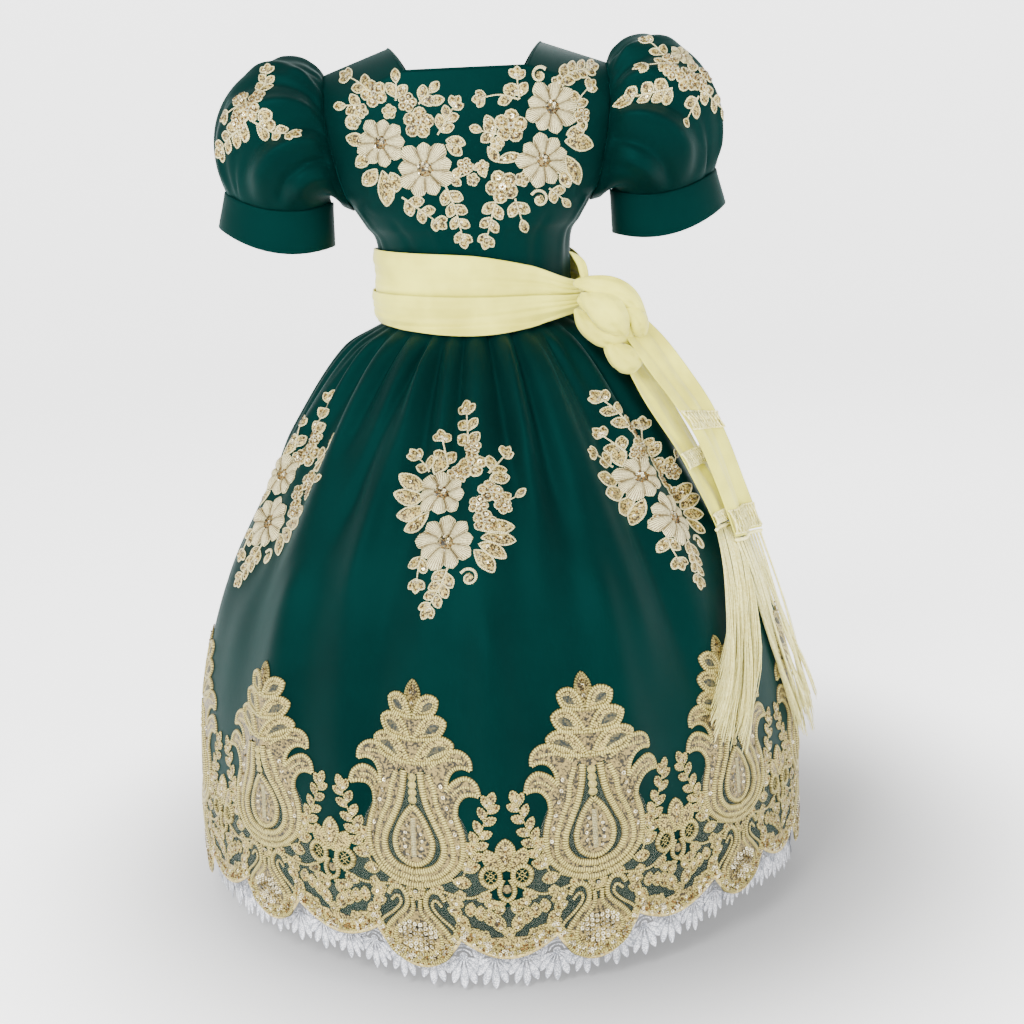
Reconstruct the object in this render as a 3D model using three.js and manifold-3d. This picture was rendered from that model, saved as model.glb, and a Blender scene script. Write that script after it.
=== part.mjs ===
// A girl's china poblana dress: satin bodice with a square neck, puff sleeves with cuff bands, a skirt
// gathered into the waist, gold appliques, a gold border lace, a petticoat with a white lace hem, and a
// knotted sash with two fringed tails. Millimetres, +Z up, front towards -Y, +X to the wearer's left.
// The origin is the middle between the two shoulder seams' highest points, where the shoulders hold it.
import * as THREE from 'three';
import { mergeVertices } from 'three/addons/utils/BufferGeometryUtils.js';
import Module from 'manifold-3d';

const wasm = await Module();
wasm.setup();

// ---------------------------------------------------------------- driving dimensions
const SATIN = 1.2;          // thickness of the green satin walls
const SASH_CLOTH = 1.6;     // thickness of the doubled sash cloth
const APPLIQUE = 1.2;       // thickness of the corded gold appliques
const SEAM = 0.3;           // gap between two pieces that are sewn together
const SIDE_SEAM = 0.9;      // the same at the middle of a slanting wall, so that its rims keep the gap
const LAID = SATIN / 2 + SEAM;  // where a piece lying on a satin panel starts

const WAIST_Z = -273;       // waist seam, under the sash
const NECK_HALF = 0.355;    // share of the half bodice that the square neck takes
const SLEEVE_GATHERS = 14;
const SLEEVE_GATHER_HEIGHT = 3;
const SKIRT_GATHERS = 30;
const HEM_LIFT = 20;        // the hem hangs this much higher at the four diagonals than at front and sides
const PALMETTES = 12;       // repeats of the gold border lace round the hem
const LACE_FANS = 68;       // repeats of the white lace round the hem
const LOCKS = 16;           // locks of fringe on each sash tail

const COLOURS = {
  satin: 0x0a4a46, gold: 0xae9f72, border: 0xa9a384, white: 0xe8e8ea, sash: 0xe6e2b4, button: 0x0c524c,
};

// Bodice rows from the waist to the neck: height at centre front, height, x and y of the row's end (side
// seam, then armhole), and how far the centre stands forward.
const BODICE = [
  { centreZ: WAIST_Z, endZ: WAIST_Z, endX: 98, endY: 0, depth: 76 },
  { centreZ: -196, endZ: -196, endX: 99, endY: 0, depth: 81 },
  { centreZ: -174, endZ: -174, endX: 110, endY: 0, depth: 84 },
  { centreZ: -152, endZ: -156, endX: 121, endY: 0, depth: 85.5 },
  { centreZ: -134, endZ: -143, endX: 127, endY: -22, depth: 85 },
  { centreZ: -106, endZ: -120, endX: 133, endY: -33, depth: 82 },
  { centreZ: -76, endZ: -95, endX: 138, endY: -36, depth: 76 },
  { centreZ: -48, endZ: -76, endX: 141, endY: -35, depth: 69 },
  { centreZ: -24, endZ: -59, endX: 143, endY: -31, depth: 62 },
];
const NECK_ROW = BODICE.length - 1;
const SHOULDER_ROWS = 3;
const SHOULDER = {
  neckBend: [70, -32, -4], neckPeak: [77, 0, 0],
  armBend: [144, -22, -33], armPeak: [142, 0, -23],
};

// Puff sleeve on the +X side, as four guide rings from the armhole to the cuff, and the cuff band's two edges.
// A ring's middle is x, y, z. It reaches xTop and zTop up at the shoulder and as far down below, and yOut to the
// front and the back, where it is also moved by xFlat and zFlat.
const SLEEVE = [
  { x: 138.5, xTop: 9, xFlat: 3, y: 2, yOut: 38, z: -92, zTop: 66, zFlat: 0 },
  { x: 143, xTop: 8, xFlat: 6, y: 0, yOut: 72, z: -60, zTop: 92, zFlat: -18 },
  { x: 221, xTop: 71, xFlat: -9, y: 0, yOut: 82, z: -72.5, zTop: 67.5, zFlat: -32.5 },
  { x: 197, xTop: 53, xFlat: 0, y: 0, yOut: 35, z: -141, zTop: 8, zFlat: -12 },
];
const CUFF = [
  { x: 197, xTop: 54, xFlat: 0, y: 0, yOut: 36, z: -142.4, zTop: 8, zFlat: -12 },
  { x: 202, xTop: 58, xFlat: 0, y: 0, yOut: 38, z: -180, zTop: 12.5, zFlat: -14 },
];
const CUFF_EXTRA = 0.6;     // the cuff is folded double, so it is thicker by this

// Skirt rows from the waist seam down: height, half width, depth as a share of the width, height of a
// gather, and share of the big folds' height. The last row lies below the satin's hem, under the border.
const SKIRT = [
  { z: WAIST_Z - SIDE_SEAM, radius: 97.5, oval: 0.78, gather: 1.2, fold: 0 },
  { z: -291, radius: 127, oval: 0.8, gather: 4, fold: 0.1 },
  { z: -322, radius: 155, oval: 0.85, gather: 5.4, fold: 0.4 },
  { z: -373, radius: 190, oval: 0.91, gather: 5.2, fold: 0.8 },
  { z: -442, radius: 232, oval: 0.96, gather: 3.4, fold: 1 },
  { z: -528, radius: 279, oval: 0.985, gather: 1.2, fold: 1 },
  { z: -630, radius: 310, oval: 1, gather: 0.3, fold: 0.7 },
  { z: -735, radius: 323, oval: 1, gather: 0, fold: 0.4 },
  { z: -812, radius: 325, oval: 1, gather: 0, fold: 0.3 },
  { z: -846, radius: 324, oval: 1, gather: 0, fold: 0.3 },
];
const HEM_ROW = SKIRT.length - 2;
const BORDER_TOP_ROW = 5;

// Big folds of the skirt: where each ridge lies round the skirt, its half width and its height.
const FOLDS = [
  { degrees: -72, half: 9, height: 5 }, { degrees: -46, half: 8, height: 6 },
  { degrees: -27, half: 6, height: 5 }, { degrees: -4, half: 9, height: 4 },
  { degrees: 22, half: 7, height: 6 }, { degrees: 41, half: 6, height: 4 },
  { degrees: 108, half: 8, height: 6 }, { degrees: 136, half: 8, height: 5 },
  { degrees: 160, half: 7, height: 6 }, { degrees: 186, half: 9, height: 5 },
  { degrees: 212, half: 8, height: 6 }, { degrees: 240, half: 8, height: 5 },
];

const HEM_RADIUS = 325;
const PETTICOAT = [
  { z: -330, radius: 144, oval: 0.84 }, { z: -480, radius: 240, oval: 0.96 },
  { z: -650, radius: 303, oval: 1 }, { z: -818, radius: 317, oval: 1 },
];

// White lace: heights of its top edge, of the valley between two points, of a point's tip, and of the open
// window's top, sides and end.
const LACE = { radius: 317, top: -819, valley: -846, tip: -866, window: [-826, -837, -850] };

// The border lace, half of one repeat: x from the palmette's middle, z at rest. The palmette's leaves and
// the side spray along the top, then the two scallops along the bottom.
const BORDER_TOP = [
  [0, -570], [20, -597], [16, -614], [35, -619], [31, -637], [60, -662], [57, -695], [72, -664], [88, -706],
];
const BORDER_BOTTOM = [[88, -828], [61, -814], [32, -837], [0, -842]];

// Outlines of the flower sprays, in the plane of each one.
const SKIRT_SPRAY = [
  [24, 110], [34, 62], [54, 46], [44, 18], [66, -11], [34, -56], [4, -70], [-18, -112],
  [-26, -66], [-52, -44], [-50, -4], [-64, 20], [-30, 42], [4, 75],
];
const SKIRT_SPRAYS = [-66, -9, 46, 109, 171, 233].map(degrees => ({ degrees, row: 3.8 }));
const SPRAY_ROWS = [2, 6];
const SPRAY_HALF_ANGLE = 24;
const BODICE_SPRAY = [
  [-120, -28], [-98, -36], [-75, -22], [-60, -38], [-38, -37], [-24, -54], [-8, -54], [-5, -84], [3, -101],
  [-7, -118], [4, -132], [-4, -150], [4, -194], [-14, -180], [-38, -174], [-56, -152], [-70, -158],
  [-94, -128], [-104, -102], [-112, -84], [-126, -56], [-108, -46],
];
const BODICE_SPRAY_MIRROR = 5;  // the two bodice sprays mirror each other about this x
const SLEEVE_SPRAY = [
  [-46, -34], [-14, -18], [18, -34], [52, -26], [34, -8], [20, 14], [26, 40], [4, 46], [-8, 22], [-30, 6],
];
const SLEEVE_SPRAY_PLANE = { at: [212, -42, -48], facing: [0.42, -0.74, 0.52] };

// Sash round the waist: angle from centre front, top edge, fold between the wraps, bottom edge, and how
// far the knot pulls the wraps off the waist.
const SASH = [
  { degrees: -180, top: -204, fold: -238, bottom: -270, pull: 0 },
  { degrees: -90, top: -197, fold: -241, bottom: -270, pull: 0 },
  { degrees: -40, top: -199, fold: -243, bottom: -276, pull: 0 },
  { degrees: 0, top: -204, fold: -246, bottom: -281, pull: 0 },
  { degrees: 32, top: -217, fold: -248, bottom: -276, pull: 3 },
  { degrees: 60, top: -235, fold: -251, bottom: -266, pull: 16 },
  { degrees: 82, top: -220, fold: -246, bottom: -270, pull: 8 },
  { degrees: 110, top: -206, fold: -240, bottom: -270, pull: 0 },
  { degrees: 180, top: -204, fold: -238, bottom: -270, pull: 0 },
];
// How far each line across a wrap stands off the bodice: the wraps' lengthwise pleats.
const UPPER_WRAP = [4.2, 5.8, 4.2, 5.6, 4];
const LOWER_WRAP = [8.4, 9.6, 8.4, 8.8, 5.5];
const WRAPS_DEPTH = 11.9;   // how far the two wraps reach out from the bodice, with clearance

// Lumps of the knot: centre, half sizes, turn about Y in degrees, and pleats across it.
const KNOT = [
  { centre: [127, -68, -262], half: [25, 22, 26], turn: 20, pleats: 3 },
  { centre: [143, -62, -252], half: [14, 18, 35], turn: -42, pleats: 2 },
  { centre: [126, -80, -282], half: [13, 13, 24], turn: -60, pleats: 2 },
  { centre: [147, -77, -305], half: [16, 13, 22], turn: -30, pleats: 2 },
  { centre: [112, -52, -228], half: [10, 14, 16], turn: 35, pleats: 1 },
];
const KNOT_OFF_SKIRT = 4;

// Sash tails: left and right edge, from the knot down.
const TAIL_FRONT = [
  { left: [150, -84, -300], right: [176, -58, -292] },
  { left: [164, -87, -322], right: [211, -54, -326] },
  { left: [188, -94, -357], right: [237, -54, -367] },
  { left: [214, -102, -392], right: [252, -56, -400] },
  { left: [230, -112, -440], right: [266, -57, -446] },
  { left: [247, -123, -492], right: [284, -60, -497] },
];
const TAIL_BACK = [
  { left: [146, -84, -330], right: [164, -54, -330] },
  { left: [164, -98, -358], right: [188, -61, -358] },
  { left: [191, -113, -399], right: [212, -70, -399] },
  { left: [212, -127, -441], right: [234, -77, -441] },
  { left: [226, -137, -477], right: [252, -83, -477] },
];
// Where each fringe's outer locks end, and how far the middle of a lock's guide keeps off the skirt.
const FRINGE_TIPS = {
  front: { tipLeft: [300, -130, -700], tipRight: [345, -50, -700], bulge: 12 },
  back: { tipLeft: [196, -253, -642], tipRight: [236, -221, -668], bulge: 33 },
};
const STRIP = { gap: 1.2, height: 6, half: 1.3 };  // the fringe's root strip, below the tail's end
const LOCK_RADIUS = 1;
const LOCK_OFF_SKIRT = 13;
const LOCK_UNEVEN = 0.06;   // share by which a lock is longer or shorter than the rest

// Covered buttons down the back: each one's row in the bodice table, and its gap on the cloth.
const BUTTONS = { radius: 5, height: 3.2, shank: 0.5, rows: [7, 5.6, 4.3, 3] };

// ---------------------------------------------------------------- general helpers
const radians = THREE.MathUtils.degToRad;
const { clamp, lerp } = THREE.MathUtils;
const vector = ([x, y, z]) => new THREE.Vector3(x, y, z);

/** An angle between -180 and 180 degrees. */
const signed = angle => THREE.MathUtils.euclideanModulo(angle + 180, 360) - 180;

/** Numbers from low to high, both kept, in the given count of steps. */
function stations(low, high, steps) {
  return Array.from({ length: steps + 1 }, (_, i) => lerp(low, high, i / steps));
}

/** Reads a table's column between its rows, on a smooth curve through them. */
function smooth(table, key, row) {
  const last = table.length - 1;
  const i = clamp(Math.floor(row), 0, last - 1);
  const t = row - i;
  const value = k => table[clamp(k, 0, last)][key];
  const slope = k => (value(k + 1) - value(k - 1)) / 2;
  const [a, b] = [value(i), value(i + 1)];
  const [da, db] = [slope(i), slope(i + 1)];
  return a + t * da + t * t * (3 * (b - a) - 2 * da - db) + t * t * t * (2 * (a - b) + da + db);
}

/** Reads a table's column at a value of another column, on straight lines between its rows. */
function linear(table, by, at, key) {
  const rising = table[1][by] > table[0][by] ? 1 : -1;
  let i = table.findIndex(row => (row[by] - at) * rising > 0) - 1;
  i = i === -2 ? table.length - 2 : Math.max(i, 0);
  const [a, b] = [table[i], table[i + 1]];
  return lerp(a[key], b[key], (at - a[by]) / (b[by] - a[by]));
}

/** A point of a surface and the unit normal there, which side says which way it faces. */
function framed(surface, u, v, side) {
  const step = 1e-3;
  const alongU = surface(u + step, v).sub(surface(u - step, v));
  const alongV = surface(u, v + step).sub(surface(u, v - step));
  return { at: surface(u, v), normal: alongU.cross(alongV).normalize().multiplyScalar(side) };
}

/** A net of triangles over the stations us and vs; wrapped nets close on themselves along u. */
function net(us, vs, surface, side, { wrapped = false, keep = () => true } = {}) {
  const points = us.flatMap(u => vs.map(v => framed(surface, u, v, side)));
  const triangles = [];
  const columns = wrapped ? us.length : us.length - 1;
  for (let i = 0; i < columns; i++) {
    for (let j = 0; j < vs.length - 1; j++) {
      if (!keep((us[i] + us[(i + 1) % us.length]) / 2, (vs[j] + vs[j + 1]) / 2)) continue;
      const a = i * vs.length + j;
      const b = ((i + 1) % us.length) * vs.length + j;
      triangles.push([a, b, b + 1], [a, b + 1, a + 1]);
    }
  }
  return { points, triangles };
}

/** Makes a closed wall from a net: an inner skin at low, an outer skin at high, and rims along its edges. */
function cloth({ points, triangles }, low, high) {
  const place = (i, h) => points[i].at.clone().addScaledVector(points[i].normal, h);
  const corners = [];
  const edges = new Set();
  for (const [a, b, c] of triangles) {
    corners.push(place(a, high), place(b, high), place(c, high));
    corners.push(place(a, low), place(c, low), place(b, low));
    for (const edge of [[a, b], [b, c], [c, a]]) edges.add(edge.join());
  }
  for (const edge of edges) {
    const [a, b] = edge.split(',').map(Number);
    if (edges.has(`${b},${a}`)) continue;
    corners.push(place(b, high), place(a, high), place(a, low));
    corners.push(place(b, high), place(a, low), place(b, low));
  }
  return facingOut(new THREE.BufferGeometry().setFromPoints(corners));
}

/** Turns a closed geometry's triangles round where they face in. */
function facingOut(geometry) {
  const p = geometry.attributes.position;
  const corner = i => new THREE.Vector3().fromBufferAttribute(p, i);
  let volume = 0;
  for (let i = 0; i < p.count; i += 3) volume += corner(i).dot(corner(i + 1).cross(corner(i + 2)));
  if (volume < 0) {
    for (let i = 0; i < p.count; i += 3) {
      const [b, c] = [corner(i + 1), corner(i + 2)];
      p.setXYZ(i + 1, c.x, c.y, c.z);
      p.setXYZ(i + 2, b.x, b.y, b.z);
    }
  }
  return geometry;
}

/** Turns a closed geometry into a solid that can be joined and cut. */
function solid(geometry) {
  const bare = geometry.clone();
  bare.deleteAttribute('normal');
  bare.deleteAttribute('uv');
  const { attributes, index } = mergeVertices(bare, 1e-3);
  return new wasm.Manifold(new wasm.Mesh({
    numProp: 3, vertProperties: new Float32Array(attributes.position.array), triVerts: new Uint32Array(index.array),
  }));
}

/** Turns a solid back into a geometry. */
function geometryOf(shape) {
  const { vertProperties, triVerts } = shape.getMesh();
  const geometry = new THREE.BufferGeometry();
  geometry.setAttribute('position', new THREE.BufferAttribute(new Float32Array(vertProperties), 3));
  geometry.setIndex(new THREE.BufferAttribute(new Uint32Array(triVerts), 1));
  return geometry;
}

/** A prism of an outline, standing both ways off the plane through origin that faces along facing. */
function stamp(outline, origin, facing, halfDepth) {
  const normal = facing.clone().normalize();
  const right = new THREE.Vector3(0, 0, 1).cross(normal).normalize();
  const up = normal.clone().cross(right);
  const shape = new THREE.Shape(outline.map(([x, y]) => new THREE.Vector2(x, y)));
  const prism = new THREE.ExtrudeGeometry(shape, { depth: 2 * halfDepth, bevelEnabled: false });
  prism.translate(0, 0, -halfDepth);
  return solid(prism.applyMatrix4(new THREE.Matrix4().makeBasis(right, up, normal).setPosition(origin)));
}

const group = new THREE.Group();

/** Adds one named piece to the dress. */
function add(name, geometry, colour, roughness = 0.6, metalness = 0) {
  const material = new THREE.MeshStandardMaterial({ color: colour, roughness, metalness });
  const mesh = new THREE.Mesh(geometry, material);
  mesh.name = name;
  group.add(mesh);
}

// ---------------------------------------------------------------- bodice
/** Front bodice: u from one side seam (-1) to the other (1), row from the waist (0) to the shoulder. */
function bodiceFront(u, row) {
  if (row > NECK_ROW) return strap(u, (row - NECK_ROW) / SHOULDER_ROWS);
  const depth = smooth(BODICE, 'depth', row);
  const endAngle = Math.acos(clamp(-smooth(BODICE, 'endY', row) / depth, 0, 1));
  const drop = Math.max(0, (Math.abs(u) - NECK_HALF) / (1 - NECK_HALF));
  return new THREE.Vector3(
    smooth(BODICE, 'endX', row) * Math.sin(u * endAngle) / Math.sin(endAngle),
    -depth * Math.cos(u * endAngle) - SIDE_SEAM / 2,
    lerp(smooth(BODICE, 'centreZ', row), smooth(BODICE, 'endZ', row), drop),
  );
}

/** Shoulder strap of the front bodice: t from the neck row (0) to the shoulder seam (1). */
function strap(u, t) {
  const across = (Math.abs(u) - NECK_HALF) / (1 - NECK_HALF);
  const start = bodiceFront(Math.abs(u), NECK_ROW);
  const bend = vector(SHOULDER.neckBend).lerp(vector(SHOULDER.armBend), across);
  const end = vector(SHOULDER.neckPeak).lerp(vector(SHOULDER.armPeak), across);
  end.y -= SIDE_SEAM / 2;
  const point = new THREE.QuadraticBezierCurve3(start, bend, end).getPoint(t);
  point.x *= Math.sign(u);
  return point;
}

/** Back bodice: the front's mirror image. */
function bodiceBack(u, row) {
  const point = bodiceFront(u, row);
  point.y *= -1;
  return point;
}

const halfStations = [0, 0.18, NECK_HALF, 0.52, 0.68, 0.84, 1];
const bodiceRows = stations(0, NECK_ROW + SHOULDER_ROWS, NECK_ROW + SHOULDER_ROWS);
const frontStations = [...halfStations.slice(1).map(u => -u).reverse(), ...halfStations];
const belowNeck = (u, row) => row < NECK_ROW || Math.abs(u) > NECK_HALF;
const closingGap = 0.0012;  // in u: the two backs stay this far from the centre line

const bodiceNet = net(frontStations, bodiceRows, bodiceFront, 1, { keep: belowNeck });
add('bodice_front', cloth(bodiceNet, -SATIN / 2, SATIN / 2), COLOURS.satin, 0.42);
for (const [name, side] of [['bodice_back_left', 1], ['bodice_back_right', -1]]) {
  const us = halfStations.map(u => side * Math.max(u, closingGap));
  const back = net(us, bodiceRows, bodiceBack, -1, { keep: belowNeck });
  add(name, cloth(back, -SATIN / 2, SATIN / 2), COLOURS.satin, 0.42);
}

BUTTONS.rows.forEach((row, i) => {
  const { radius, height, shank } = BUTTONS;
  const profile = [[0, 0], [radius, 0], [radius * 0.8, height], [0, height]];
  const button = new THREE.LatheGeometry(profile.map(([x, y]) => new THREE.Vector2(x, y)), 8);
  const { at, normal } = framed(bodiceBack, closingGap, row, -1);
  button.applyQuaternion(new THREE.Quaternion().setFromUnitVectors(new THREE.Vector3(0, 1, 0), normal));
  button.translate(...at.addScaledVector(normal, LAID + shank).setX(0));
  add(`button_${i + 1}`, button, COLOURS.button, 0.5);
});

// ---------------------------------------------------------------- sleeves
/** A point on a guide ring of the sleeve or cuff: angle 0 at the shoulder, 90 in front. */
function armRing({ x, xTop, xFlat, y, yOut, z, zTop, zFlat }, angle) {
  const [c, s] = [Math.cos(radians(angle)), Math.sin(radians(angle))];
  const flat = 1 - c * c;
  return new THREE.Vector3(x + xTop * c + xFlat * flat, y - yOut * s, z + zTop * c + zFlat * flat);
}

/** Puff sleeve on the +X side: angle round the armhole, t to the cuff. */
function sleeve(angle, t) {
  const point = new THREE.CubicBezierCurve3(...SLEEVE.map(row => armRing(row, angle))).getPoint(t);
  const gathered = Math.pow(Math.abs(2 * t - 1), 1.6) * (0.8 + 0.3 * Math.sin(radians(3 * angle)));
  const wave = SLEEVE_GATHER_HEIGHT * gathered * Math.cos(radians(angle * SLEEVE_GATHERS));
  const middle = new THREE.Vector3(lerp(140, 197, t), 0, lerp(-92, -150, t));
  return point.addScaledVector(point.clone().sub(middle).normalize(), wave);
}

/** Cuff band on the +X side: angle as in the sleeve, t from the gathers down to its open edge. */
function cuff(angle, t) {
  return armRing(CUFF[0], angle).lerp(armRing(CUFF[1], angle), t);
}

/** Mirrors a surface to the -X side. */
const mirrored = surface => (u, v) => surface(u, v).multiply(new THREE.Vector3(-1, 1, 1));

const sleeveAngles = stations(0, 360, 2 * SLEEVE_GATHERS).slice(0, -1);
const cuffAngles = stations(0, 360, 24).slice(0, -1);
const sleeveRows = [0.02, 0.16, 0.38, 0.6, 0.82, 1];
for (const [side, surface, band, facing] of [
  ['left', sleeve, cuff, 1], ['right', mirrored(sleeve), mirrored(cuff), -1],
]) {
  const puff = net(sleeveAngles, sleeveRows, surface, facing, { wrapped: true });
  add(`sleeve_${side}`, cloth(puff, -SATIN / 2, SATIN / 2), COLOURS.satin, 0.42);
  const mirror = new THREE.Vector3(facing, 1, 1);
  const { at, facing: looks } = SLEEVE_SPRAY_PLANE;
  const spray = stamp(SLEEVE_SPRAY.map(([x, z]) => [-facing * x, z]),
    vector(at).multiply(mirror), vector(looks).multiply(mirror), 45);
  const laid = solid(cloth(puff, LAID, LAID + APPLIQUE));
  add(`sleeve_spray_${side}`, geometryOf(laid.intersect(spray)), COLOURS.gold, 0.45, 0.3);
  const cuffNet = net(cuffAngles, [0, 1], band, facing, { wrapped: true });
  add(`cuff_${side}`, cloth(cuffNet, -SATIN / 2, SATIN / 2 + CUFF_EXTRA), COLOURS.satin, 0.42);
}

// ---------------------------------------------------------------- skirt, border and sprays
/** How much higher than the table's z the cloth hangs, at an angle round the skirt. */
function lift(angle, z) {
  return HEM_LIFT * Math.sin(radians(2 * angle)) ** 2 * clamp((-z - 450) / 370, 0, 1.1) ** 1.5;
}

/** A point at an angle from centre front on an oval ring. */
function ringPoint(angle, radius, oval, z) {
  return new THREE.Vector3(radius * Math.sin(radians(angle)), -radius * oval * Math.cos(radians(angle)), z);
}

/** The ridges of the big folds at an angle, added up. */
function foldHeight(angle) {
  return FOLDS.reduce((sum, { degrees, half, height }) => {
    return sum + height * Math.exp(-((signed(angle - degrees) / half) ** 2));
  }, 0);
}

/** Skirt: angle from centre front in degrees, row in the table. */
function skirt(angle, row) {
  const z = smooth(SKIRT, 'z', row);
  const gather = smooth(SKIRT, 'gather', row) * (0.85 + 0.2 * Math.sin(radians(5 * angle + 60)));
  const radius = smooth(SKIRT, 'radius', row) + gather * Math.cos(radians(SKIRT_GATHERS * angle))
    + smooth(SKIRT, 'fold', row) * foldHeight(angle);
  return ringPoint(angle, radius, smooth(SKIRT, 'oval', row), z + lift(angle, z));
}

/** Petticoat: angle from centre front in degrees, row in its table. */
function petticoat(angle, row) {
  const z = smooth(PETTICOAT, 'z', row);
  return ringPoint(angle, smooth(PETTICOAT, 'radius', row), smooth(PETTICOAT, 'oval', row), z + lift(angle, z));
}

/** White lace band: angle from centre front in degrees, height before the hem's lift. */
function laceBand(angle, z) {
  return ringPoint(angle, LACE.radius, 1, z + lift(angle, z));
}

/** Net of the white lace between two angles: a pointed fan for each repeat, with one open window in it. */
function laceNet(low, high, fans) {
  const points = [];
  const triangles = [];
  const seen = new Map();
  const corner = (angle, z) => {
    const key = `${angle.toFixed(4)},${z}`;
    if (!seen.has(key)) seen.set(key, points.push(framed(laceBand, angle, z, -1)) - 1);
    return seen.get(key);
  };
  const { top, valley, tip, window: [openTop, openSide, openEnd] } = LACE;
  const outline = [[0, valley], [0.5, tip], [1, valley], [1, top], [0, top]];
  const opening = [[0.5, openTop], [0.28, openSide], [0.5, openEnd], [0.72, openSide]];
  const flat = list => list.map(([share, z]) => new THREE.Vector2(share * 26, z));
  const faces = THREE.ShapeUtils.triangulateShape(flat(outline), [flat(opening)]);
  const width = (high - low) / fans;
  for (let k = 0; k < fans; k++) {
    const corners = [...outline, ...opening].map(([share, z]) => corner(low + (k + share) * width, z));
    triangles.push(...faces.map(face => face.map(i => corners[i])));
  }
  return { points, triangles };
}

/** The outline of one repeat of the border lace, following the hem's lift. */
function borderOutline(centre) {
  const half = [...BORDER_TOP, ...BORDER_BOTTOM];
  const other = half.slice(1, -1).map(([x, z]) => [-x, z]).reverse();
  return [...half, ...other].map(([x, z]) => [x, z + lift(centre + x / radians(HEM_RADIUS), z)]);
}

const seamAngle = 0.06;     // degrees that each half stays off the side seam
const repeat = 360 / PALMETTES;
for (const { name, low, high } of [
  { name: 'front', low: -90 + seamAngle, high: 90 - seamAngle },
  { name: 'back', low: 90 + seamAngle, high: 270 - seamAngle },
]) {
  const columns = stations(low, high, SKIRT_GATHERS);
  const part = (first, last, keep) => net(columns, stations(first, last, last - first), skirt, -1, { keep });
  add(`skirt_${name}`, cloth(part(0, HEM_ROW), -SATIN / 2, SATIN / 2), COLOURS.satin, 0.42);

  const border = solid(cloth(part(BORDER_TOP_ROW, HEM_ROW + 1), LAID, LAID + APPLIQUE));
  const repeats = stations(low + repeat / 2, high - repeat / 2, PALMETTES / 2 - 1).map(centre => stamp(
    borderOutline(centre), ringPoint(centre, HEM_RADIUS, 1, 0), ringPoint(centre, 1, 1, 0), 60));
  const pattern = repeats.reduce((all, one) => all.add(one));
  add(`hem_border_${name}`, geometryOf(border.intersect(pattern)), COLOURS.border, 0.5, 0.25);

  SKIRT_SPRAYS.forEach(({ degrees, row }, i) => {
    if (degrees < low || degrees > high) return;
    const { at, normal } = framed(skirt, degrees, row, -1);
    const near = part(SPRAY_ROWS[0], SPRAY_ROWS[1], angle => Math.abs(angle - degrees) < SPRAY_HALF_ANGLE);
    const spray = solid(cloth(near, LAID, LAID + APPLIQUE)).intersect(stamp(SKIRT_SPRAY, at, normal, 40));
    add(`skirt_spray_${i + 1}`, geometryOf(largest(spray)), COLOURS.gold, 0.45, 0.3);
  });

  const under = net(stations(low, high, 12), [0, 1, 2, 3], petticoat, -1);
  add(`petticoat_${name}`, cloth(under, -SATIN / 2, SATIN / 2), COLOURS.white, 0.8);
  const lace = laceNet(low, high, LACE_FANS / 2);
  add(`lace_hem_${name}`, cloth(lace, -SATIN / 2, SATIN / 2), COLOURS.white, 0.8);
}

// ---------------------------------------------------------------- bodice sprays
const bodiceShell = solid(cloth(bodiceNet, LAID, LAID + APPLIQUE));
for (const [name, side] of [['right', 1], ['left', -1]]) {
  const outline = BODICE_SPRAY.map(([x, z]) => [side > 0 ? x : 2 * BODICE_SPRAY_MIRROR - x, z]);
  if (side < 0) outline.reverse();
  const cutter = stamp(outline, new THREE.Vector3(0, -70, 0), new THREE.Vector3(0, -1, 0), 52);
  add(`bodice_spray_${name}`, geometryOf(largest(bodiceShell.intersect(cutter))), COLOURS.gold, 0.45, 0.3);
}

// ---------------------------------------------------------------- sash
/** Half width and half depth of what the sash lies on, at a height. */
function waistForm(z) {
  if (z > WAIST_Z) return [linear(BODICE, 'centreZ', z, 'endX'), linear(BODICE, 'centreZ', z, 'depth')];
  const width = linear(SKIRT, 'z', z, 'radius') + linear(SKIRT, 'z', z, 'gather');
  return [width, width * linear(SKIRT, 'z', z, 'oval')];
}

/** Reads the sash's table at an angle. */
const edge = (angle, key) => linear(SASH, 'degrees', angle, key);

/** A wrap of the sash: offs is how far each line across it stands off, edges are its heights at an angle. */
const wrap = (offs, edges) => (angle, row) => {
  const turn = signed(angle);
  const [from, to] = edges(turn);
  const z = lerp(from, to, row / (offs.length - 1));
  const [width, depth] = waistForm(z);
  const off = linear(offs.map((value, k) => ({ k, value })), 'k', row, 'value') + edge(turn, 'pull');
  const [s, c] = [Math.sin(radians(angle)), Math.cos(radians(angle))];
  return new THREE.Vector3((width + off) * s, -(depth + off) * c, z);
};
const upperWrap = wrap(UPPER_WRAP, angle => [edge(angle, 'top'), edge(angle, 'fold') - 4]);
const lowerWrap = wrap(LOWER_WRAP, angle => [edge(angle, 'fold') + 2, edge(angle, 'bottom')]);
const wrapAngles = stations(0, 360, 22).slice(0, -1);
for (const [name, surface, offs] of [
  ['sash_wrap_upper', upperWrap, UPPER_WRAP], ['sash_wrap_lower', lowerWrap, LOWER_WRAP],
]) {
  const rows = stations(0, offs.length - 1, offs.length - 1);
  const round = net(wrapAngles, rows, surface, -1, { wrapped: true });
  add(name, cloth(round, -SASH_CLOTH / 2, SASH_CLOTH / 2), COLOURS.sash, 0.55);
}

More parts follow.
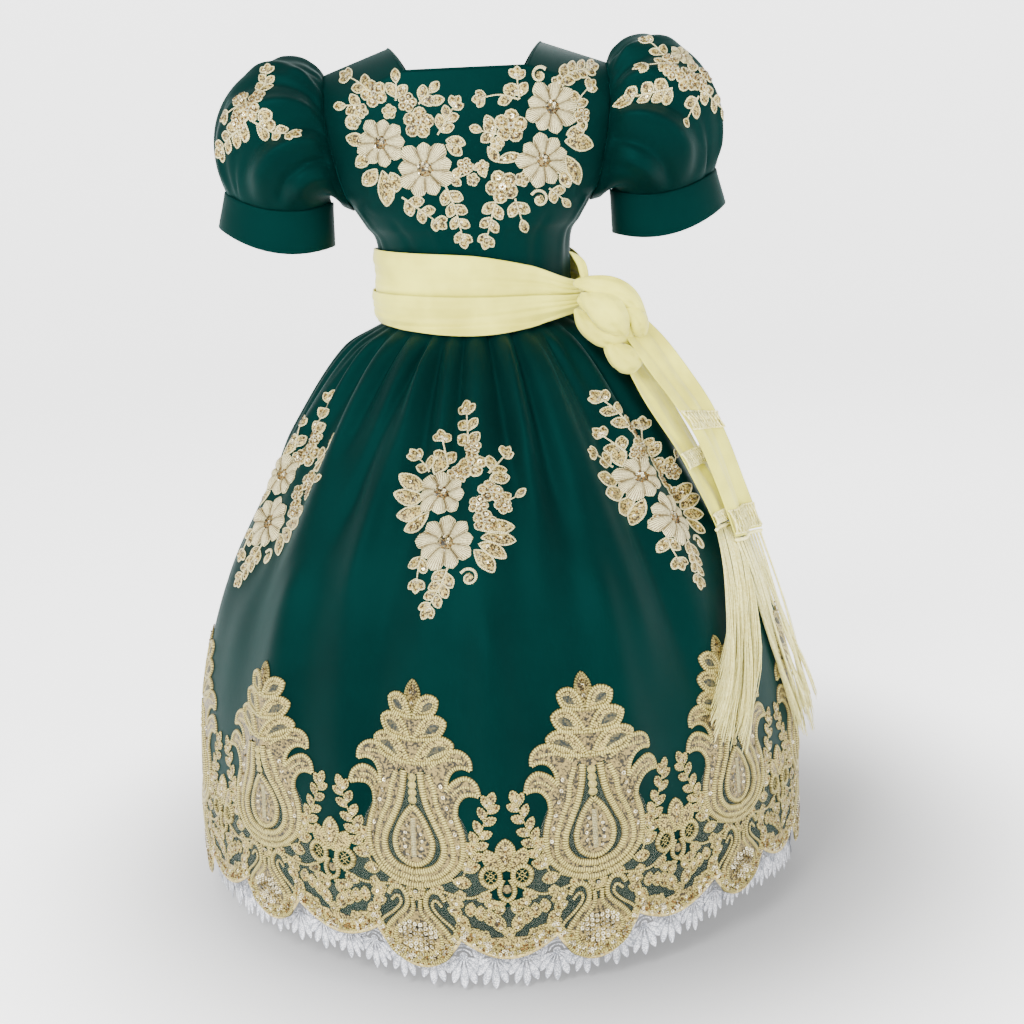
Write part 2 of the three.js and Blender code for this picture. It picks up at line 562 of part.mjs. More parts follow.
/** One pleated lump of the knot, grown by a clearance. */
function lump({ centre, half, turn, pleats }, grow) {
  const ball = new THREE.SphereGeometry(1, 10, 6).rotateX(Math.PI / 2);
  const p = ball.attributes.position;
  for (let i = 0; i < p.count; i++) {
    const point = new THREE.Vector3().fromBufferAttribute(p, i);
    const ridge = 1 + 0.07 * Math.cos(2 * pleats * Math.atan2(point.y, point.x)) * (1 - point.z ** 2);
    point.multiply(new THREE.Vector3(...half).addScalar(grow)).multiplyScalar(ridge);
    p.setXYZ(i, point.x, point.y, point.z);
  }
  return solid(ball.rotateY(radians(turn)).translate(...centre));
}

/** The space of the waist, its wraps and the skirt's top, which the knot stays out of. */
function waistBlock() {
  const rows = [-170, -215, -250, -274, -284, -296, -322, -373, -420];
  const profile = [[0, rows[0]], ...rows.map(z => [1, z]), [0, rows.at(-1)]];
  const block = new THREE.LatheGeometry(profile.map(([x, z]) => new THREE.Vector2(x, -z)), 40).rotateX(-Math.PI / 2);
  const p = block.attributes.position;
  for (let i = 0; i < p.count; i++) {
    const [x, y, z] = [p.getX(i), p.getY(i), p.getZ(i)];
    const [width, depth] = waistForm(z);
    const angle = THREE.MathUtils.radToDeg(Math.atan2(x, -y));
    const off = z > -290 ? WRAPS_DEPTH + edge(angle, 'pull') : KNOT_OFF_SKIRT;
    p.setXYZ(i, x * (width + off), y * (depth + off), z);
  }
  return solid(facingOut(block.toNonIndexed()));
}

const knot = KNOT.map(row => lump(row, 0)).reduce((all, one) => all.add(one)).subtract(waistBlock());
add('sash_knot', geometryOf(largest(knot)), COLOURS.sash, 0.55);
const knotSpace = KNOT.map(row => lump(row, 2 * SEAM)).reduce((all, one) => all.add(one));

/** The biggest body of a solid that a cut may have left in pieces. */
function largest(shape) {
  return shape.decompose().reduce((best, one) => (one.volume() > best.volume() ? one : best));
}

/** A sash tail between its two edges, with one fold along it: share across, share down. */
const tail = (table, fold) => {
  const left = new THREE.CatmullRomCurve3(table.map(row => vector(row.left)));
  const right = new THREE.CatmullRomCurve3(table.map(row => vector(row.right)));
  return (across, down) => {
    const share = clamp(down, 0, 1);
    const point = left.getPoint(share).lerp(right.getPoint(share), across);
    const out = new THREE.Vector3(point.x, point.y, 0).normalize();
    return point.addScaledVector(out, fold * Math.sin(2 * Math.PI * across) * down);
  };
};

/** A point moved out level, so that it stays off the skirt by a gap. */
function offSkirt(point, gap) {
  const angle = THREE.MathUtils.radToDeg(Math.atan2(point.x, -point.y));
  const least = linear(SKIRT, 'z', point.z - lift(angle, point.z), 'radius') + gap;
  const out = new THREE.Vector3(point.x, point.y, 0);
  return point.add(out.clone().setLength(Math.max(0, least - out.length())));
}

/** Fringe below a tail: locks of three sides, their roots fused into a narrow strip. */
function fringe(surface, { tipLeft, tipRight, bulge }) {
  const strip = (share, down) => surface(share, 1).add(new THREE.Vector3(0, 0, -STRIP.gap - STRIP.height * down));
  const all = [solid(cloth(net(stations(0, 1, 6), [0, 1], strip, 1), -STRIP.half, STRIP.half))];
  for (let i = 0; i < LOCKS; i++) {
    const share = (i + 0.5) / LOCKS;
    const root = strip(share, 0.5);
    const tip = offSkirt(vector(tipLeft).lerp(vector(tipRight), share), LOCK_OFF_SKIRT);
    const middle = offSkirt(root.clone().lerp(tip, 0.5), bulge);
    const length = 1 + LOCK_UNEVEN * Math.sin(2.4 * i);
    const guide = [middle, tip].map(point => root.clone().lerp(point, length));
    const section = new THREE.Shape([0, 120, 240].map(turn => new THREE.Vector2(
      LOCK_RADIUS * Math.cos(radians(turn)), LOCK_RADIUS * Math.sin(radians(turn)))));
    const path = new THREE.QuadraticBezierCurve3(root, ...guide);
    all.push(solid(new THREE.ExtrudeGeometry(section, { steps: 2, extrudePath: path })));
  }
  return geometryOf(all.reduce((sum, one) => sum.add(one)));
}

for (const { name, table, fold, tips } of [
  { name: 'front', table: TAIL_FRONT, fold: 4, tips: FRINGE_TIPS.front },
  { name: 'back', table: TAIL_BACK, fold: -2, tips: FRINGE_TIPS.back },
]) {
  const surface = tail(table, fold);
  const sheet = solid(cloth(net(stations(0, 1, 4), stations(0, 1, 7), surface, 1), -SASH_CLOTH / 2, SASH_CLOTH / 2));
  add(`sash_tail_${name}`, geometryOf(largest(sheet.subtract(knotSpace))), COLOURS.sash, 0.55);
  add(`sash_fringe_${name}`, fringe(surface, tips), COLOURS.sash, 0.6);
}

export default group;
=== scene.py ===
"""Looks of a girl's china poblana dress, built round its CAD frame.

Lengths inside the classes are millimetres in the frame of the dress: +Z up, front towards -Y, +X to the
wearer's left. They become metres only where a mesh is made.
"""
from __future__ import annotations

import logging
import math
import random
from dataclasses import dataclass, field
from enum import Enum
from typing import Any, Callable, Iterable, Sequence

import bpy
import numpy as np
from mathutils import Matrix, Vector

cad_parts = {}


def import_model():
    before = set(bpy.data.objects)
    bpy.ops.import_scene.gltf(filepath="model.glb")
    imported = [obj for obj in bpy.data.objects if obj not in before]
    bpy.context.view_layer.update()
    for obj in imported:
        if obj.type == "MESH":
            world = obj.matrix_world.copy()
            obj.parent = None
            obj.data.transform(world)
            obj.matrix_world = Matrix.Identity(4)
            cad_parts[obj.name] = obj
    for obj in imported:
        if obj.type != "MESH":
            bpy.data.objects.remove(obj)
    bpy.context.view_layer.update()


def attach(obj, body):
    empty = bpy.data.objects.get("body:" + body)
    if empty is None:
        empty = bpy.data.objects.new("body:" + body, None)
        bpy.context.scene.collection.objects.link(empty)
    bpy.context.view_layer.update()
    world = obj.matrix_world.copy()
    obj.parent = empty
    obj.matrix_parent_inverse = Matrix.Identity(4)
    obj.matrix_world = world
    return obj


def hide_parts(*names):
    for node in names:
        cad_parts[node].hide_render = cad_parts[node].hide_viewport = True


log = logging.getLogger("dress")

Array = np.ndarray
MM = 0.001
BODY = "root"
SATIN_HALF = 0.6        # half the thickness of a satin wall in the frame
SEAM = 0.3
LAID = SATIN_HALF + SEAM
SIDE_SEAM = 0.9
WAIST_Z = -273.0
HEM_RADIUS = 325.0


# ---------------------------------------------------------------- shader maths
class Sock:
    """A node's output, on which ordinary arithmetic adds Math nodes."""

    def __init__(self, paint: "Paint", socket: Any) -> None:
        """Keeps the material's painter and the socket."""
        self.paint = paint
        self.socket = socket

    def _math(self, operation: str, *values: Any) -> "Sock":
        """Adds one Math node on the given values."""
        return self.paint.node("ShaderNodeMath", {"operation": operation}, *values)

    def __add__(self, other: Any) -> "Sock":
        """Sum."""
        return self._math("ADD", self, other)

    def __sub__(self, other: Any) -> "Sock":
        """Difference."""
        return self._math("SUBTRACT", self, other)

    def __rsub__(self, other: Any) -> "Sock":
        """Difference, reflected."""
        return self._math("SUBTRACT", other, self)

    def __mul__(self, other: Any) -> "Sock":
        """Product."""
        return self._math("MULTIPLY", self, other)

    def __truediv__(self, other: Any) -> "Sock":
        """Quotient."""
        return self._math("DIVIDE", self, other)

    def __pow__(self, other: Any) -> "Sock":
        """Power."""
        return self._math("POWER", self, other)

    __radd__ = __add__
    __rmul__ = __mul__

    def clip(self, low: float, high: float) -> "Sock":
        """Maps low..high to 0..1, smoothly and clamped."""
        return self.paint.node("ShaderNodeMapRange", {"interpolation_type": "SMOOTHSTEP"}, self, low, high, 0.0, 1.0)

    def sine(self) -> "Sock":
        """Sine of an angle in radians."""
        return self._math("SINE", self)

    def most(self, other: Any) -> "Sock":
        """The larger of the two."""
        return self._math("MAXIMUM", self, other)

    def least(self, other: Any) -> "Sock":
        """The smaller of the two."""
        return self._math("MINIMUM", self, other)


class Paint:
    """Makes one procedural material, node by node."""

    def __init__(self, name: str) -> None:
        """Starts an empty node material.

        Args:
            name: The material's name.
        """
        self.material = bpy.data.materials.new(name)
        self.material.use_nodes = True
        self.nodes = self.material.node_tree.nodes
        self.links = self.material.node_tree.links
        self.nodes.clear()

    def node(self, kind: str, settings: dict[str, Any] | None, *values: Any, out: int | str = 0,
             **named: Any) -> Sock:
        """Adds any node.

        Args:
            kind: The node's type.
            settings: Properties that are set first; "stops" fills a colour ramp.
            values: Values or links of the input sockets, in their order.
            out: Which output to give back.
            named: Values or links of input sockets by name, with _ for a space.

        Returns:
            The chosen output.
        """
        made = self.nodes.new(kind)
        for key, value in (settings or {}).items():
            if key == "stops":
                ramp = made.color_ramp
                for i, (position, colour) in enumerate(value):
                    stop = ramp.elements[i] if i < 2 else ramp.elements.new(position)
                    stop.position, stop.color = position, (*colour, 1.0)
            else:
                setattr(made, key, value)
        wanted: list[tuple[Any, Any]] = list(zip(made.inputs, values))
        wanted += [(made.inputs[key.replace("_", " ")], value) for key, value in named.items()]
        for socket, value in wanted:
            if value is None:
                continue
            if isinstance(value, Sock):
                self.links.new(value.socket, socket)
            else:
                socket.default_value = value
        return Sock(self, made.outputs[out] if len(made.outputs) else None)

    def mix(self, share: Any, first: Any, second: Any) -> Sock:
        """Mixes two colours by a share."""
        made = self.nodes.new("ShaderNodeMix")
        made.data_type = "RGBA"
        for socket, value in ((made.inputs[0], share), (made.inputs[6], first), (made.inputs[7], second)):
            if isinstance(value, Sock):
                self.links.new(value.socket, socket)
            elif isinstance(value, tuple) and len(value) == 3:
                socket.default_value = (*value, 1.0)
            else:
                socket.default_value = value
        return Sock(self, made.outputs[2])

    def place(self, uv: bool) -> Sock:
        """Texture place in metres: along the cloth, or in the object."""
        return self.node("ShaderNodeTexCoord", None, out="UV" if uv else "Object")

    def noise(self, place: Sock, scale: float, detail: float = 2.0, rough: float = 0.5) -> Sock:
        """Noise of about 0..1 around 0.5."""
        return self.node("ShaderNodeTexNoise", None, place, None, scale, detail, rough)

    def axes(self, place: Sock) -> tuple[Sock, Sock, Sock]:
        """The three numbers of a place."""
        made = self.node("ShaderNodeSeparateXYZ", None, place)
        return tuple(Sock(self, output) for output in made.socket.node.outputs)

    def bump(self, height: Sock, distance: float, strength: float = 1.0) -> Sock:
        """Turns a height of 0..1 into a normal; distance is in metres."""
        return self.node("ShaderNodeBump", None, strength, distance, Height=height)

    def finish(self, shader: Sock) -> bpy.types.Material:
        """Joins a shader to the material's output."""
        self.node("ShaderNodeOutputMaterial", None, shader)
        return self.material

    def principled(self, **named: Any) -> Sock:
        """Adds the main shader with sockets by name."""
        return self.node("ShaderNodeBsdfPrincipled", None, **named)


def rgb(red: int, green: int, blue: int, gain: float = 1.0) -> tuple[float, float, float]:
    """Linear colour of an sRGB one in 0..255, times a gain."""
    def linear(value: float) -> float:
        """One channel."""
        share = value / 255
        return share / 12.92 if share <= 0.04045 else ((share + 0.055) / 1.055) ** 2.4
    return tuple(gain * linear(value) for value in (red, green, blue))


@dataclass(frozen=True)
class Satin:
    """Matt-sheen satin: a fine twill, a soft sheen and slightly uneven dye."""

    name: str
    colour: tuple[float, float, float]
    deep: tuple[float, float, float]
    pitch: float = 0.0011       # metres between the ribs of the twill
    roughness: float = 0.56

    def make(self) -> bpy.types.Material:
        """Builds the material."""
        paint = Paint(self.name)
        across, along, _ = paint.axes(paint.place(True))
        ribs = ((across + along * 0.35) * (2 * math.pi / self.pitch)).sine() * 0.5 + 0.5
        slub = paint.noise(paint.node("ShaderNodeMapping", None, paint.place(True), Scale=(900.0, 60.0, 1.0)), 1.0)
        cloudy = paint.noise(paint.place(False), 9.0, 3.0)
        colour = paint.mix((cloudy * 0.8 + slub * 0.2).clip(0.3, 0.7), self.deep, self.colour)
        rough = cloudy * 0.1 + slub * 0.1 + (self.roughness - 0.1)
        normal = paint.bump(ribs * 0.6 + slub * 0.4, 0.00012, 0.5)
        return paint.finish(paint.principled(
            Base_Color=colour, Roughness=rough, Normal=normal, Sheen_Weight=0.04, Sheen_Roughness=0.4,
            Sheen_Tint=(0.02, 0.75, 0.65, 1.0), Specular_IOR_Level=0.13, Specular_Tint=(0.01, 0.6, 0.54, 1.0),
            Anisotropic=0.3))


@dataclass(frozen=True)
class Crepe:
    """Soft sash cloth or plain lining: a plain weave with a slight sheen."""

    name: str
    colour: tuple[float, float, float]
    shade: tuple[float, float, float]
    pitch: float = 0.0009
    roughness: float = 0.55
    sheen: float = 0.3

    def make(self) -> bpy.types.Material:
        """Builds the material."""
        paint = Paint(self.name)
        across, along, _ = paint.axes(paint.place(True))
        turn = 2 * math.pi / self.pitch
        weave = (across * turn).sine() * (along * turn).sine() * 0.5 + 0.5
        cloudy = paint.noise(paint.place(False), 22.0, 3.0)
        colour = paint.mix((cloudy * 0.75 + weave * 0.25).clip(0.3, 0.68), self.shade, self.colour)
        rough = cloudy * 0.12 + (self.roughness - 0.06)
        return paint.finish(paint.principled(
            Base_Color=colour, Roughness=rough, Normal=paint.bump(weave * 0.7 + cloudy * 0.3, 0.00015, 0.6),
            Sheen_Weight=self.sheen, Sheen_Roughness=0.4, Specular_IOR_Level=0.35))


@dataclass(frozen=True)
class Thread:
    """Embroidery: metallic or silk thread, whose stitches lie across a cord or down a petal, with painted shade in the
    grooves between stitches or strands and on a cord's or petal's sides.
    """

    name: str
    colour: tuple[float, float, float]
    dark: tuple[float, float, float]
    metal: float = 0.3
    roughness: float = 0.4
    grain: float = 900.0
    stitch: float = 0.0         # metres between the stitches along a cord, or 0
    strands: float = 0.0        # strands side by side on a petal, or 0
    sides: float = 0.0          # how much darker a cord's or a petal's sides are

    def make(self) -> bpy.types.Material:
        """Builds the material."""
        paint = Paint(self.name)
        place = paint.place(False)
        fine = paint.noise(place, self.grain, 2.0, 0.6)
        broad = paint.noise(place, 120.0, 2.0)
        share, height = (fine * 0.8 + broad * 0.2).clip(0.4, 0.6), fine
        across, along, _ = paint.axes(paint.place(True))
        # Painted shade: the colour darkens in the grooves between stitches or strands, where the bump sinks.
        if self.stitch or self.strands:
            wave = along * (2 * math.pi / self.stitch) if self.stitch else across * (math.pi * self.strands)
            ridge = wave.sine() * 0.5 + 0.5
            share, height = share * 0.35 + ridge * 0.65, fine * 0.3 + ridge * 0.7
        # Painted shade: a cord's or petal's colour darkens towards its sides, where the round thread turns away from
        # the light and meets its neighbour.
        if self.sides:
            share = share - (across * across * across * across) * self.sides
        return paint.finish(paint.principled(
            Base_Color=paint.mix(share.clip(0.0, 1.0), self.dark, self.colour), Metallic=self.metal,
            Roughness=fine * 0.3 + (self.roughness - 0.15),
            Normal=paint.bump(height, 0.0007, 0.9), Specular_IOR_Level=0.35))


@dataclass(frozen=True)
class Tulle:
    """Net: a see-through ground with fine threads."""

    name: str
    colour: tuple[float, float, float]
    mesh: float = 0.0016        # metres between the threads
    cover: float = 0.3

    def make(self) -> bpy.types.Material:
        """Builds the material."""
        paint = Paint(self.name)
        across, along, _ = paint.axes(paint.place(True))
        turn = 2 * math.pi / self.mesh
        one = ((across + along) * turn).sine() * 0.5 + 0.5
        two = ((across - along) * turn).sine() * 0.5 + 0.5
        thread = one.most(two).clip(0.75, 0.98)
        uneven = paint.noise(paint.place(False), 40.0)
        alpha = thread * 0.5 + uneven * 0.1 + (self.cover - 0.2)
        return paint.finish(paint.principled(
            Base_Color=paint.mix(uneven, self.colour, tuple(0.8 * c for c in self.colour)), Alpha=alpha,
            Roughness=0.6, Specular_IOR_Level=0.3))


@dataclass(frozen=True)
class FloorWithPaintedShadow:
    """The floor and the backdrop, which glow, with a painted soft shadow on the floor round the dress's foot."""

    name: str
    colour: tuple[float, float, float]

    def make(self) -> bpy.types.Material:
        """Builds the material."""
        paint = Paint(self.name)
        across, deep, _ = paint.axes(paint.place(False))
        # Painted shadow: near a point just beside the dress's middle, the colour and the glow with it fall to a fifth,
        # and come back to full by 0.7 m away.
        away = ((across - 0.07) * (across - 0.07) + (deep - 0.02) * (deep - 0.02)) ** 0.5
        colour = paint.mix(away.clip(0.26, 0.7), tuple(0.2 * c for c in self.colour), self.colour)
        return paint.finish(paint.principled(
            Base_Color=colour, Roughness=0.9, Specular_IOR_Level=0.1, Emission_Color=colour, Emission_Strength=1.6))


class Finish(Enum):
    """Every finish of the dress and what stands round it."""

    GREEN = Satin("green satin", (0.0, 0.0092, 0.0077), (0.0, 0.0056, 0.0048))
    BUTTON = Satin("green button satin", (0.0, 0.0092, 0.008), (0.0, 0.0066, 0.006), pitch=0.0008)
    SASH = Crepe("cream sash cloth", rgb(230, 226, 88), rgb(190, 183, 58))
    # A darker sheet laid in the openwork's holes: painted shade seen through them.
    OPENWORK_SHADE = Crepe("openwork painted shade", rgb(196, 186, 84), rgb(160, 150, 60))
    LINING = Crepe("white lining", rgb(232, 233, 236), rgb(220, 221, 226), pitch=0.0008, roughness=0.8, sheen=0.1)
    # Besides their random grain, CORD, RIM and CREAM take their dark colour in the grooves between stitches or
    # strands, and CORD, CREAM and LACE towards their sides: painted shade.
    CORD = Thread("gold cord", rgb(198, 184, 104), rgb(72, 60, 24), metal=0.2, stitch=0.0024, sides=0.7)
    FILL = Thread("gold filling", rgb(176, 156, 86), rgb(40, 30, 12), metal=0.2, grain=520.0)
    # SHADE is the gold ground under and between the raised work: partly its own darker gold, partly painted shade
    # between the raised cords.
    SHADE = Thread("gold ground", rgb(132, 114, 64), rgb(26, 24, 12), metal=0.1, grain=420.0)
    SLIT = Thread("dark slit", rgb(74, 68, 40), rgb(12, 24, 18), metal=0.0, roughness=0.6, grain=400.0)
    RIM = Thread("pale outline cord", rgb(238, 230, 178), rgb(132, 116, 64), metal=0.15, stitch=0.0016)
    CREAM = Thread("cream silk", rgb(230, 220, 166), rgb(92, 76, 38), metal=0.0, roughness=0.45, strands=9.0,
                   sides=0.75)
    BEAD = Thread("bronze beads", rgb(136, 102, 54), rgb(44, 28, 14), metal=0.75, roughness=0.3)
    SEQUIN = Thread("clear sequins", rgb(236, 230, 196), rgb(160, 148, 108), metal=0.6, roughness=0.22, grain=500.0)
    TRIM = Thread("tan rim", rgb(204, 186, 120), rgb(160, 140, 82), metal=0.1, roughness=0.5, grain=400.0)
    LACE = Thread("white lace cord", rgb(246, 246, 250), rgb(150, 154, 162), metal=0.0, roughness=0.7, sides=0.8)
    FRINGE = Thread("cream silk fringe", rgb(252, 246, 172), rgb(232, 222, 136), metal=0.0, roughness=0.38,
                    grain=400.0)
    NET = Tulle("grey net", rgb(96, 98, 84), cover=0.12)
    FLOOR = FloorWithPaintedShadow("pale floor", (0.97, 0.97, 0.97))


_made: dict[str, bpy.types.Material] = {}


def material(finish: Finish) -> bpy.types.Material:
    """The material of a finish, made once."""
    if finish.name not in _made:
        _made[finish.name] = finish.value.make()
    return _made[finish.name]


# ---------------------------------------------------------------- tables and curves
def column(table: Sequence[Any], key: str) -> Array:
    """One column of a table of dataclass rows."""
    return np.array([getattr(row, key) for row in table], float)


def smooth(values: Array, row: Array) -> Array:
    """Reads a column between its rows, on a smooth curve through them.

    Args:
        values: The column.
        row: Where to read, in rows; beyond the ends the end stretches go on.

    Returns:
        The values there.
    """
    row = np.asarray(row, float)
    last = len(values) - 1
    i = np.clip(np.floor(row).astype(int), 0, last - 1)
    t = row - i
    at = lambda k: values[np.clip(k, 0, last)]  # noqa: E731
    a, b = at(i), at(i + 1)
    da, db = (at(i + 1) - at(i - 1)) / 2, (at(i + 2) - at(i)) / 2
    return a + t * da + t * t * (3 * (b - a) - 2 * da - db) + t ** 3 * (2 * (a - b) + da + db)


def lerp(a: Any, b: Any, t: Any) -> Any:
    """From a to b by the share t."""
    return a + (b - a) * t


def signed(degrees: Array) -> Array:
    """An angle between -180 and 180 degrees."""
    return np.mod(np.asarray(degrees, float) + 180, 360) - 180


def flowing(points: Sequence[Sequence[float]], count: int, closed: bool = False) -> Array:
    """Evenly spread points on a smooth curve through the given ones.

    Args:
        points: What the curve passes through, in two or three numbers each.
        count: How many points to give back.
        closed: Whether the curve returns to its start.

    Returns:
        An array of count points.
    """
    p = np.array(points, float)
    n = len(p)
    fine = np.linspace(0, n if closed else n - 1, max(24, n * 10), endpoint=not closed)
    i = np.floor(fine).astype(int)
    if not closed:
        i = np.minimum(i, n - 2)
    t = (fine - i)[:, None]
    pick = (lambda k: p[k % n]) if closed else (lambda k: p[np.clip(k, 0, n - 1)])  # noqa: E731
    a, b, c, d = pick(i - 1), pick(i), pick(i + 1), pick(i + 2)
    curve = 0.5 * (2 * b + (c - a) * t + (2 * a - 5 * b + 4 * c - d) * t ** 2 + (3 * b - a - 3 * c + d) * t ** 3)
    if closed:
        curve = np.vstack([curve, curve[:1]])
    run = np.concatenate([[0], np.cumsum(np.linalg.norm(np.diff(curve, axis=0), axis=1))])
    want = np.linspace(0, run[-1], count, endpoint=not closed)
    return np.stack([np.interp(want, run, curve[:, k]) for k in range(p.shape[1])], axis=1)


# ---------------------------------------------------------------- surfaces
class Surface:
    """A cloth surface in millimetres over two coordinates."""

    side = 1.0
    low, high = -9.0, 9.0       # where designs may lie along v

    def at(self, u: Array, v: Array) -> Array:
        """Points of the surface."""
        raise NotImplementedError

    def framed(self, u: Array, v: Array) -> tuple[Array, Array]:
        """Points and their unit normals, pointing out of the dress."""
        step = 1e-3
        du = self.at(u + step, v) - self.at(u - step, v)
        dv = self.at(u, v + step) - self.at(u, v - step)
        normal = np.cross(du, dv)
        length = np.linalg.norm(normal, axis=-1, keepdims=True)
        return self.at(u, v), self.side * normal / np.maximum(length, 1e-12)

    def off(self, u: Array, v: Array, height: Array | float) -> Array:
        """Points that stand off the surface by a height."""
        point, normal = self.framed(u, v)
        return point + normal * np.asarray(height, float)[..., None]


@dataclass(frozen=True)
class BodiceRow:
    """Height at centre front; height, x and y of the row's end; and how far the centre stands forward."""

    centre_z: float
    end_z: float
    end_x: float
    end_y: float
    depth: float


@dataclass(frozen=True)
class RingRow:
    """Height, half width, depth as a share of the width, height of a gather and share of the big folds."""

    z: float
    radius: float
    oval: float
    gather: float = 0.0
    fold: float = 0.0


@dataclass(frozen=True)
class Crease:
    """A soft ridge or trough that runs down a cloth.

    start and end are where it begins and dies out along the cloth, at from_at and to_at across it; half is
    its half width where it ends and height how far it stands up, below zero for a trough.
    """

    from_at: float
    to_at: float
    start: float
    end: float
    half: float
    height: float
    sharp: float = 0.5      # half width at the start, as a share of half

    def over(self, across: Array, along: Array, turn: bool = True) -> Array:
        """How high the crease stands at the given places."""
        t = (along - self.start) / (self.end - self.start)
        inside = np.clip(t, 0, 1)
        centre = lerp(self.from_at, self.to_at, inside)
        away = signed(across - centre) if turn else across - centre
        half = self.half * lerp(self.sharp, 1.0, inside)
        fade = np.clip(1 - np.abs(2 * t - 1), 0, 1)
        ease = np.sin(np.pi / 2 * np.minimum(1.0, 2.2 * fade)) ** 2
        return self.height * np.exp(-(away / half) ** 2) * ease


class Bodice(Surface):
    """Front bodice: u from one side seam (-1) to the other (1), row from the waist up to the shoulder."""

    low, high = 0.0, 10.6

    neck_half = 0.355
    table = (
        BodiceRow(-273, -273, 98, 0, 76), BodiceRow(-196, -196, 99, 0, 81), BodiceRow(-174, -174, 110, 0, 84),
        BodiceRow(-152, -156, 121, 0, 85.5), BodiceRow(-134, -143, 127, -22, 85), BodiceRow(-106, -120, 133, -33, 82),
        BodiceRow(-76, -95, 138, -36, 76), BodiceRow(-48, -76, 141, -35, 69), BodiceRow(-24, -59, 143, -31, 62),
    )
    neck_row = 8
    shoulder_rows = 3
    creases = (
        Crease(0.72, 0.62, 5.4, 2.6, 0.05, 1.6), Crease(-0.72, -0.6, 5.6, 2.4, 0.05, 1.6),
        Crease(0.9, 0.78, 3.6, 0.4, 0.05, -2.0), Crease(-0.9, -0.8, 3.4, 0.4, 0.05, -2.0),
        Crease(0.8, 0.66, 3.4, 0.1, 0.05, 1.5), Crease(-0.8, -0.7, 3.2, 0.1, 0.05, 1.5),
        Crease(0.2, 0.14, 2.4, 0.1, 0.04, 1.2), Crease(-0.25, -0.2, 2.2, 0.1, 0.05, 1.2),
        Crease(0.45, 0.4, 2.6, 0.1, 0.05, -1.4), Crease(-0.5, -0.42, 2.6, 0.1, 0.05, -1.4),
    )
    neck_bend, arm_bend = np.array([70, -32, -4.0]), np.array([144, -22, -33.0])
    neck_peak, arm_peak = np.array([77, 0, 0.0]), np.array([142, 0, -23.0])

    def __init__(self, back: bool = False) -> None:
        """Makes the front, or its mirror image for the back."""
        self.flip = np.array([1.0, -1.0 if back else 1.0, 1.0])
        self.side = -1.0 if back else 1.0

    def panel(self, u: Array, row: Array) -> Array:
        """Points below the neck."""
        depth = smooth(column(self.table, "depth"), row)
        end = np.arccos(np.clip(-smooth(column(self.table, "end_y"), row) / depth, 0, 1))
        drop = np.maximum(0, (np.abs(u) - self.neck_half) / (1 - self.neck_half))
        z = lerp(smooth(column(self.table, "centre_z"), row), smooth(column(self.table, "end_z"), row), drop)
        x = smooth(column(self.table, "end_x"), row) * np.sin(u * end) / np.sin(end)
        rise = sum(c.over(u, row, turn=False) for c in self.creases)
        return np.stack([x + rise * np.sin(u * end), -(depth + rise) * np.cos(u * end) - SIDE_SEAM / 2, z], axis=-1)

    def at(self, u: Array, v: Array) -> Array:
        """Points of the panel and the strap."""
        u, v = np.broadcast_arrays(np.asarray(u, float), np.asarray(v, float))
        low = self.panel(u, np.minimum(v, self.neck_row))
        across = ((np.abs(u) - self.neck_half) / (1 - self.neck_half))[..., None]
        start = self.panel(np.abs(u), np.full(u.shape, float(self.neck_row)))
        bend = lerp(self.neck_bend, self.arm_bend, across)
        end = lerp(self.neck_peak, self.arm_peak, across) - np.array([0, SIDE_SEAM / 2, 0])
        t = ((v - self.neck_row) / self.shoulder_rows)[..., None]
        strap = (1 - t) ** 2 * start + 2 * t * (1 - t) * bend + t ** 2 * end
        strap = strap * np.stack([np.sign(u), np.ones_like(u), np.ones_like(u)], axis=-1)
        return np.where((v > self.neck_row)[..., None], strap, low) * self.flip


